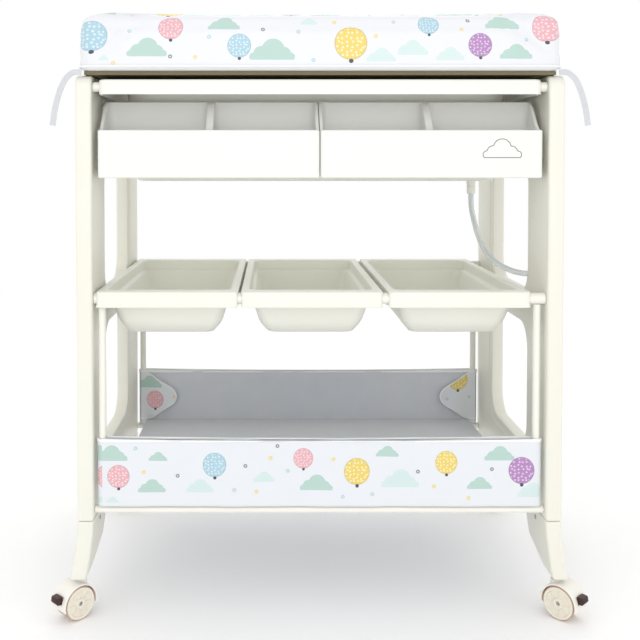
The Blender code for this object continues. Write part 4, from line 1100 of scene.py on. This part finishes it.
def makeStem(end, side):
    # the pin that turns in the foot, with its collar and a groove for the spring ring
    profile = [(0.0, 0.0898), (0.0032, 0.0898), (0.0039, 0.0890), (0.0039, 0.0860), (0.0034, 0.0857),
               (0.0034, 0.0845), (0.0039, 0.0842), (0.0039, 0.0657), (0.0068, 0.0657), (0.0074, 0.0652),
               (0.0074, 0.0598), (0.0068, 0.0593), (0.0039, 0.0592), (0.0039, 0.0325), (0.0, 0.0325)]
    place = (sideSigns[side] * castor["stem x"], endSigns[end] * castor["stem y"], 0)
    piece = latheMesh(f"stem_pin_{end}_{side}", profile, place, (0, 0, 1), zincSteel, f"castor_{end}_{side}",
                      40, 30)
    return standFor(piece, [f"castor_stem_{end}_{side}"])


def makeLever(side):
    # a toe pad with two grip ridges, and its root in the web
    d = castor
    outline = roundedCorner([(0.0283, 0.0385), (0.0283, 0.0327), (0.0370, 0.0325), (0.0395, 0.0360),
                             (0.0380, 0.0440), (0.0283, 0.0448), (0.0283, 0.0385)],
                            [0, 0.0006, 0.0016, 0.0012, 0.0016, 0.0006, 0], 5)
    pad = prism("pad", outline[:-1] + (d["trail"], 0), 0.0089, 0.0009, leverPlastic)
    ridges = [prism("ridge", arcPoints(0.0009, 0, 330, 11, (d["trail"] + y, z)), 0.0074, 0.0004, leverPlastic)
              for y, z in ((0.0391, 0.0375), (0.0387, 0.0405))]
    root = blockBetween("root", (-0.0052, d["trail"] + 0.0226, 0.0336), (0.0052, d["trail"] + 0.0295, 0.0424),
                        leverPlastic)
    lever = moveMesh(joined("toe_lever_" + side, [pad, root] + ridges), "front", side)
    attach(lever, "lever_front_" + side)
    return standFor(lever, ["brake_lever_front_" + side])


for end, side in corners:
    makeHood(end, side)
    makeAxle(end, side)
    makeStem(end, side)
    for hand in ("a", "b"):
        makeWheel(end, side, hand)
for side in sideSigns:
    makeLever(side)
print("castors are built")


# pieces whose CAD solids stay, with a finish and softened edges
def finishNode(node, material, edge=0.0):
    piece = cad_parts[node]
    piece.data.materials.clear()
    piece.data.materials.append(material)
    if edge:
        soften = piece.modifiers.new("softened_edges", "BEVEL")
        soften.width = edge
        soften.segments = 2
        soften.limit_method = "ANGLE"
        soften.angle_limit = math.radians(40)
        soften.harden_normals = True
    return piece


rivet = {"x": 0.3780, "y": 0.2478, "heights": (0.8400, 0.8560)}
finishNode("mat_board", boardFibre, 0.0008)
finishNode("hose_clip", framePolypropylene, 0.0004)
for side, sign in sideSigns.items():
    finishNode("mat_hinge_" + side, zincSteel, 0.0004)
    for height in rivet["heights"]:
        makeScrew(f"hinge_rivet_{side}_{int(height * 1000)}", (sign * rivet["x"], rivet["y"], height), (0, 1, 0),
                  "root", 0.7)


# drain hose
hose = {"radius": 0.005, "route": [(0.2960, 0.246, 0.6832), (0.2960, 0.246, 0.672), (0.2965, 0.242, 0.655),
                                   (0.2990, 0.230, 0.632), (0.3035, 0.214, 0.606), (0.3110, 0.198, 0.584),
                                   (0.3240, 0.180, 0.565), (0.3400, 0.162, 0.554), (0.3600, 0.146, 0.548),
                                   (0.3800, 0.138, 0.548), (0.3950, 0.134, 0.558), (0.4000, 0.126, 0.580),
                                   (0.3998, 0.112, 0.620), (0.3996, 0.096, 0.680), (0.3996, 0.088, 0.730),
                                   (0.3996, 0.088, 0.770), (0.3996, 0.088, 0.800)]}


def smoothRoute(points, spacing):
    # a Catmull-Rom curve through the points, sampled about every spacing
    points = np.asarray(points, dtype=float)
    ends = np.concatenate([[2 * points[0] - points[1]], points, [2 * points[-1] - points[-2]]])
    route = []
    for a, b, c, e in zip(ends, ends[1:], ends[2:], ends[3:]):
        steps = max(1, round(np.linalg.norm(c - b) / spacing))
        t = (np.arange(steps) / steps)[:, None]
        route.extend(0.5 * (2 * b + (c - a) * t + (2 * a - 5 * b + 4 * c - e) * t ** 2
                            + (3 * b - a - 3 * c + e) * t ** 3))
    return np.array(route + [points[-1]])


def makeHose():
    # a clear tube from the spout to the clip on the leg, closed by a ribbed stopper
    route = smoothRoute([(x, y - frameHalfDepth, z) for x, y, z in hose["route"]], 0.004)
    piece = tubeMesh("drain_hose_tube", route, hose["radius"], hoseVinyl, "root", 24)
    standFor(piece, ["drain_hose"])
    x, y, z = route[-1]
    low = z + 0.0003
    cap = [(0.0, low + 0.0160), (0.0030, low + 0.0160), (0.0045, low + 0.0150), (0.0052, low + 0.0130),
           (0.0058, low + 0.0118), (0.0052, low + 0.0106), (0.0058, low + 0.0094), (0.0052, low + 0.0082),
           (0.0058, low + 0.0070), (0.0052, low + 0.0058), (0.0056, low + 0.0020), (0.0054, low), (0.0, low)]
    stopper = latheMesh("hose_stopper_cap", cap, (x, y, 0), (0, 0, 1), whiteRubber, "root", 40)
    standFor(stopper, ["hose_stopper"])


makeHose()


# ties
tie = {"width": 0.0095, "thick": 0.0012, "y": -0.247,
       "route": [(0.3800, 0.8865), (0.3870, 0.8868), (0.3960, 0.8850), (0.4070, 0.8740), (0.4160, 0.8540),
                 (0.4225, 0.8300), (0.4270, 0.8020)]}


def makeTie(side):
    # a flat woven tape; its section is a thin rounded rectangle that stays square to the run, seen from the front
    sign = sideSigns[side]
    route = smoothRoute([(sign * x, tie["y"], z) for x, z in tie["route"]], 0.002)
    across = np.cross(headings(route), (0, 1, 0))
    section = roundedRing(tie["width"] / 2, tie["thick"] / 2, 0.0005, 3, (4, 1))
    along = runAlong(route)
    rows = [point + section[:, 0:1] * out + section[:, 1:2] * (0, 1, 0) for point, out in zip(route, across)]
    uv = [np.column_stack([np.full(len(section), run), section[:, 0]]) for run in along]
    count = len(section)
    faces = cappedFaces(len(rows), count)
    piece = makeMesh("tape_tie_" + side, np.concatenate(rows), faces, tieTape, "mat", uv=np.concatenate(uv))
    standFor(piece, ["tie_" + side])


for side in sideSigns:
    makeTie(side)
print("hose and ties are laid")


# changing mat
mat = {"half": 0.386, "front": -0.255, "rear": 0.255, "bottom": 0.8896, "top": 0.981, "spacing": 0.0062,
       "pressure": 3.4, "frames": 16, "most": 0.007, "seed": 11, "dish": 0.9512, "piping": 0.0016}


def resampled(stations, spacing):
    # the same line with evenly spaced points, and how far along each lies
    run = runAlong(stations[:, [0, 2]])
    wanted = np.linspace(0, run[-1], max(2, round(run[-1] / spacing)) + 1)
    return np.column_stack([np.interp(wanted, run, stations[:, k]) for k in range(stations.shape[1])]), wanted


def makeMat():
    # a foam block with a raised border round a dish, in a sewn cover; stations are (inset, corner radius, height)
    d = mat
    outline = [(0.060, 0.012, d["bottom"]), (0.0060, 0.020, d["bottom"]), (0.0, 0.026, d["bottom"] + 0.0060),
               (0.0, 0.028, d["top"] - 0.008), (0.0130, 0.024, d["top"] - 0.0005), (0.080, 0.030, d["top"] - 0.003),
               (0.128, 0.040, d["dish"]), (0.165, 0.030, d["dish"])]
    stations = roundedCorner(outline, [0, 0.004, 0.004, 0.010, 0.012, 0.020, 0.018, 0], 6)
    stations, run = resampled(stations, d["spacing"])
    halfY = (d["rear"] - d["front"]) / 2
    rows = []
    for inset, radius, z in stations:
        loop = roundedRing(d["half"] - inset, halfY - inset, radius, 6, (116, 74))
        rows.append(atHeight(loop, z))
    count = len(rows[0])
    grid = np.array(rows)
    quads = np.array(gridFaces(len(rows), count))
    # cover coordinates in metres: the wall runs round the block, the top carries on flat from the front wall
    wall = grid[6]  # a ring on the upright part
    strip = matPrint["size"][1]
    start = runAlong(np.concatenate([wall, wall[:1]]))
    frontMiddle = int(np.argmin(np.abs(wall[:, 0]) + 10 * (wall[:, 1] > 0)))
    start += d["half"] - start[frontMiddle]
    wallTop = int(np.argmax(stations[:, 2] > d["top"] - 0.003))
    uv = []
    for number, quad in enumerate(quads):
        row, column = divmod(number, count)
        if row < wallTop:
            uv += [(start[column], run[row]), (start[column + 1], run[row]), (start[column + 1], run[row + 1]),
                   (start[column], run[row + 1])]
        else:
            uv += [(x + d["half"], strip + y - d["front"]) for x, y, z in grid.reshape(-1, 3)[quad]]
    low = run[int(np.argmax(stations[:, 0] < 0.001))] - 0.006
    uv = np.array(uv)
    wallLoops = np.repeat(np.arange(len(quads)) // count < wallTop, 4)
    uv[wallLoops, 1] = np.maximum(uv[wallLoops, 1] - low, 0.0005)
    uv = np.concatenate([uv, grid[0][:, :2] + d["half"], grid[-1][:, :2] + (d["half"], strip - d["front"])])
    faces = cappedFaces(len(rows), count)
    piece = makeMesh("changing_mat_cover", grid.reshape(-1, 3), faces, matCover, None, uv=uv, sharp=0)
    puffUp(piece)
    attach(piece, "mat")
    standFor(piece, ["changing_mat"])
    # piping sewn round the lower edge
    ring = roundedRing(d["half"] + 0.0004, halfY + 0.0004, 0.026, 8, (24, 16))
    route = atHeight(ring, d["bottom"] + 0.0062)
    piping = tubeMesh("mat_piping", np.concatenate([route, route[:1]]), d["piping"], bindingTape, "mat", 12)
    return piece


def puffUp(piece):
    # inflates the cover against its seams; the foot of the wall and the floor of the dish stay put
    d = mat
    mesh = piece.data
    total = len(mesh.vertices)
    rest = np.zeros(total * 3)
    mesh.vertices.foreach_get("co", rest)
    rest = rest.reshape(-1, 3)
    inDish = (rest[:, 2] < d["dish"] + 0.0023) & (np.abs(rest[:, 0]) < d["half"] - 0.10)
    held = (rest[:, 2] < d["bottom"] + 0.008) | inDish
    group = piece.vertex_groups.new(name="sewn")
    group.add(np.flatnonzero(held).tolist(), 1.0, "REPLACE")
    noise = np.random.default_rng(d["seed"]).normal(0, 0.00025, rest.shape) * ~held[:, None]
    mesh.vertices.foreach_set("co", (rest + noise).ravel())
    cloth = piece.modifiers.new("cloth", "CLOTH")
    s = cloth.settings
    s.quality = 6
    s.mass = 0.25
    s.tension_stiffness = s.compression_stiffness = 12
    s.shear_stiffness = 6
    s.bending_stiffness = 0.6
    s.use_pressure = True
    s.uniform_pressure_force = d["pressure"]
    s.vertex_group_mass = "sewn"
    s.effector_weights.gravity = 0
    cloth.point_cache.frame_start = 1
    cloth.point_cache.frame_end = d["frames"]
    for number in range(1, d["frames"] + 1):
        bpy.context.scene.frame_set(number)
    made = piece.evaluated_get(bpy.context.evaluated_depsgraph_get()).to_mesh()
    moved = np.zeros(total * 3)
    made.vertices.foreach_get("co", moved)
    shift = moved.reshape(-1, 3) - rest
    far = np.linalg.norm(shift, axis=1)
    print("the mat's cover moved by up to", round(float(far.max()) * 1000, 1), "mm")
    # keep each point within the most that foam lets the cloth lift, easing into that limit
    reach = d["most"] * np.tanh(far / d["most"])
    shift *= (reach / np.maximum(far, 1e-9))[:, None]
    piece.modifiers.remove(cloth)
    bpy.context.scene.frame_set(1)
    mesh.vertices.foreach_set("co", (rest + shift).ravel())
    mesh.update()


makeMat()
print("the mat is covered")


# basket
basket = {"post": 0.3526, "radius": 0.0079, "line": tubeLine, "low": 0.1845, "front top": 0.2940,
          "rear top": 0.2985, "dip": 0.0034, "cloth": 0.0009, "ear": 0.0016, "seam": 0.0045,
          "print edge": 0.3602, "lined": 0.359}


def racetrack(halfLength, radius, straightSteps, endSteps):
    # a flattened loop: two straight sides and two half circles, counter-clockwise seen from above
    t = np.linspace(-1, 1, straightSteps + 1)
    front = np.column_stack([t * halfLength, np.full(len(t), -radius)])
    turn = np.linspace(-math.pi / 2, math.pi / 2, endSteps + 1)[1:-1]
    right = np.column_stack([halfLength + radius * np.cos(turn), radius * np.sin(turn)])
    return np.concatenate([front, right, -front, -right])


def sleeve(name, end, low, top, grow, cloth, rows, materials, rippled):
    # a cloth tube round the two posts; its section up the height is a thin closed strip, and the loop between the
    # posts hangs a little lower in the middle and ripples slightly
    d, forward = basket, endSigns[end]
    loop = racetrack(d["post"], d["radius"] + grow, 150, 10)
    ahead = np.roll(loop, -1, axis=0) - np.roll(loop, 1, axis=0)
    ahead /= np.linalg.norm(ahead, axis=1)[:, None]
    outwards = np.column_stack([ahead[:, 1], -ahead[:, 0]])
    run = runAlong(loop)
    middle = np.clip(1 - (loop[:, 0] / d["post"]) ** 2, 0, 1)
    t = np.linspace(0, 1, rows + 1)
    section = [(v, 0.5) for v in t] + [(1.0, 0.0)] + [(v, -0.5) for v in t[::-1]] + [(0.0, 0.0)]
    points, uv = [], []
    for (x, y), (nx, ny), along, mid in zip(loop, outwards, run, middle):
        dip = d["dip"] * mid
        for v, side in section:
            z = low + (top - dip - low) * v
            # ripple: long shallow waves along, fading at posts; drawn in a little towards the middle of the height
            wave = 0.0007 * math.sin(34 * x + 3.0 * v) + 0.0004 * math.sin(83 * x - 5.0 * v + 1.0)
            wave += -0.0012 * math.sin(math.pi * v) * (0.6 + 0.4 * math.sin(9 * x + 2))
            shift = side * cloth + wave * rippled * mid ** 0.5
            ease = 0.0004 if v in (0.0, 1.0) and side == 0.0 else 0.0
            points.append((x + nx * shift, forward * d["line"] + (y + ny * shift), z + (ease if v else -ease)))
            uv.append((along, z - low))
    faces = np.array(gridFaces(len(loop), len(section), True, True))
    cornersUv = np.array(uv)[faces]
    last = faces[:, 2] < len(section)
    cornersUv[last, 2:, 0] += run[-1] + d["seam"]
    cornersUv[:, :, 0] += d["print edge"] - d["post"]
    piece = makeMesh(name, points, faces.tolist(), materials[0], None, uv=cornersUv.reshape(-1, 2), sharp=0)
    if len(materials) > 1:
        piece.data.materials.append(materials[1])
        for face in piece.data.polygons:
            lined = face.center.y * forward < d["line"] and abs(face.center.x) < d["lined"]
            face.material_index = 1 if lined else 0
    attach(piece, "root")
    return piece, run[-1]


def makePanel(end):
    # the panel, its bound upper edge and the seam where the sleeve is closed
    d = basket
    top = d[end + " top"]
    materials = [basketCover] if end == "front" else [basketCover, liningCloth]
    piece, around = sleeve(f"basket_panel_{end}", end, d["low"], top, 0.0, d["cloth"], 26, materials, 1.0)
    bound = sleeve(f"basket_binding_{end}", end, top - 0.0042, top + 0.0007, 0.0002, 0.0024, 3, [bindingTape],
                   0.5)[0]
    standFor(piece, ["basket_" + end])


for end in endSigns:
    makePanel(end)

ear = {"outline": [(0.3560, 0.2960), (0.3450, 0.2945), (0.3330, 0.2890), (0.3180, 0.2780), (0.3020, 0.2690),
                   (0.2880, 0.2600), (0.2810, 0.2480), (0.2830, 0.2350), (0.2920, 0.2250), (0.3060, 0.2165),
                   (0.3200, 0.2070), (0.3320, 0.1990), (0.3450, 0.1965), (0.3560, 0.1960)],
       "corner": (0.3560, 0.246), "reach": 0.075, "cut": (0.076, 0.101), "face": 0.2204, "lift": 0.007,
       "print": {"left": (0.360, -0.188), "right": (0.1025, -0.2226)}}


def earSurface(flat, sign, face):
    # the flap's (x, z) points in their place, lifted towards the tip; face is -1 or 1 for its skins, 0 between them
    away = np.clip((ear["corner"][0] - flat[:, 0]) / ear["reach"], 0, 1)
    y = ear["face"] - 0.0012 - ear["lift"] * away ** 1.6 - 0.0012 * np.sin(flat[:, 1] * 70) * away
    return np.column_stack([sign * flat[:, 0], y + face * basket["ear"] / 2, flat[:, 1]])


def makeEar(side):
    # the panel's end, folded inwards round its post: a flap with hollow flanks and a rounded point
    d, sign = ear, sideSigns[side]
    edge = smoothRoute([(x, 0, z) for x, z in d["outline"]], 0.003)[:, [0, 2]]
    corner = np.array(d["corner"])
    steps, count = 12, len(edge)
    rings = [corner + (edge - corner) * k / steps for k in range(1, steps + 1)]
    skins = [earSurface(ring, sign, face) for face in (-1, 1) for ring in rings]
    middles = [earSurface(corner[None], sign, face) for face in (-1, 1)]
    points = np.concatenate(skins + middles)
    total = steps * count
    one = gridFaces(steps, count, wrapColumns=False)
    faces = one + [[i + total for i in quad[::-1]] for quad in one]
    for i in range(count - 1):
        faces += [[2 * total, i, i + 1], [2 * total + 1, total + i + 1, total + i]]
        rim = (steps - 1) * count + i
        faces.append([rim, rim + 1, rim + 1 + total, rim + total])
    for column in (0, count - 1):
        line = [2 * total] + [k * count + column for k in range(steps)]
        for a, b in zip(line, line[1:]):
            twin = a + total if a < total else 2 * total + 1
            faces.append([a, b, b + total, twin])
    uv = points[:, [0, 2]] + d["print"][side]
    piece = makeMesh("basket_ear_" + side, points, faces, basketCover, "root", uv=uv, sharp=40)
    bound = tubeMesh("ear_binding_" + side, earSurface(edge, sign, 0), 0.0013, bindingTape, "root", 10)


for side in sideSigns:
    makeEar(side)

floorCloth = {"half": 0.3446, "y": 0.2202, "low": 0.1900, "thick": 0.0040}


def makeBasketFloor():
    # lining over a board: flat with a soft edge and faint hollows
    d = floorCloth
    rows = []
    stack = [(0.0030, 0.0), (0.0012, 0.0003), (0.0003, 0.0010), (0.0, 0.0020), (0.0003, 0.0030), (0.0012, 0.0037),
             (0.0030, 0.0040)]
    for inset, rise in stack:
        loop = roundedRing(d["half"] - inset, d["y"] - inset, 0.006, 4, (60, 40))
        rows.append(atHeight(loop, d["low"] + rise))
    count = len(rows[0])
    for shrink in np.linspace(0.94, 0.06, 16):
        flat = rows[6][:, :2] * shrink
        dimple = 0.0007 * np.sin(flat[:, 0] * 31) * np.sin(flat[:, 1] * 44 + 1) - 0.0006
        rows.append(np.column_stack([flat, d["low"] + 0.0040 + dimple]))
    faces = cappedFaces(len(rows), count)
    points = np.concatenate(rows)
    piece = makeMesh("basket_floor_cloth", points, faces, liningCloth, "root", uv=points[:, :2] + 0.4, sharp=0)
    standFor(piece, ["basket_floor"])


makeBasketFloor()
print("the basket is sewn")


# generic cloud outline printed on the right tray
badge = {"x": 0.291, "z": 0.763, "y": -0.2452, "size": 0.034, "line": 0.0011, "foot": 0.36}
badgeInk = mouldedPlastic("grey_pad_printed_ink", "#6C6D72", "#626368", 0.5, 0.5, 0.02)


def makeBadge():
    # the outline of a cloud from overlapping discs, as a thin raised line of ink
    d = badge
    discs = [(0.0, 0.10, 0.42), (-0.42, -0.10, 0.30), (0.44, -0.10, 0.28), (-0.72, -0.22, 0.18),
             (0.74, -0.22, 0.17)]
    angle = np.linspace(-0.12 * math.pi, 1.12 * math.pi, 181)
    reach = []
    for a in angle:
        ray = np.array([math.cos(a), math.sin(a)])
        best = 0.0
        for cx, cy, r in discs:
            c = np.array([cx, cy + d["foot"]])
            b = ray.dot(c)
            gap = b * b - c.dot(c) + r * r
            if gap > 0:
                best = max(best, b + math.sqrt(gap))
        reach.append(ray * best - (0, d["foot"]))
    outline = np.array([p for p in reach if p[1] > -d["foot"]])
    route = np.column_stack([d["x"] + outline[:, 0] * d["size"], np.full(len(outline), d["y"]),
                             d["z"] + outline[:, 1] * d["size"]])
    base = np.column_stack([np.linspace(route[-1, 0], route[0, 0], 20), np.full(20, d["y"]),
                            np.full(20, d["z"] - d["foot"] * d["size"])])
    closed = np.concatenate([route, base, route[:1]])
    keep = np.concatenate([[True], np.linalg.norm(np.diff(closed, axis=0), axis=1) > 0.0003])
    closed = closed[keep]
    across = np.cross(headings(closed), (0, 1, 0)) * d["line"] / 2
    front = [closed + across, closed - across]
    back = [line + (0, 0.0003, 0) for line in front]
    count = len(closed)
    rows = np.concatenate([front[0], front[1], back[1], back[0]])
    faces = []
    for k in range(4):
        for i in range(count - 1):
            a, b = k * count + i, (k + 1) % 4 * count + i
            faces.append([a, a + 1, b + 1, b])
    faces += [[k * count for k in range(4)], [k * count + count - 1 for k in range(4)]]
    piece = makeMesh("tray_cloud_print", rows, faces, badgeInk, "tray_right", sharp=30)


makeBadge()


# the floor under it all
def makeFloor():
    # a white studio floor
    points = np.array([(-3, -2.6, 0), (3, -2.6, 0), (3, 3.4, 0), (-3, 3.4, 0)])
    paper = mouldedPlastic("matt_white_paper", "#FFFFFF", "#FDFDFD", 0.9, 1.0, 0.01)
    piece = makeMesh("studio_floor", points, [(0, 1, 2, 3)], paper, None)


makeFloor()
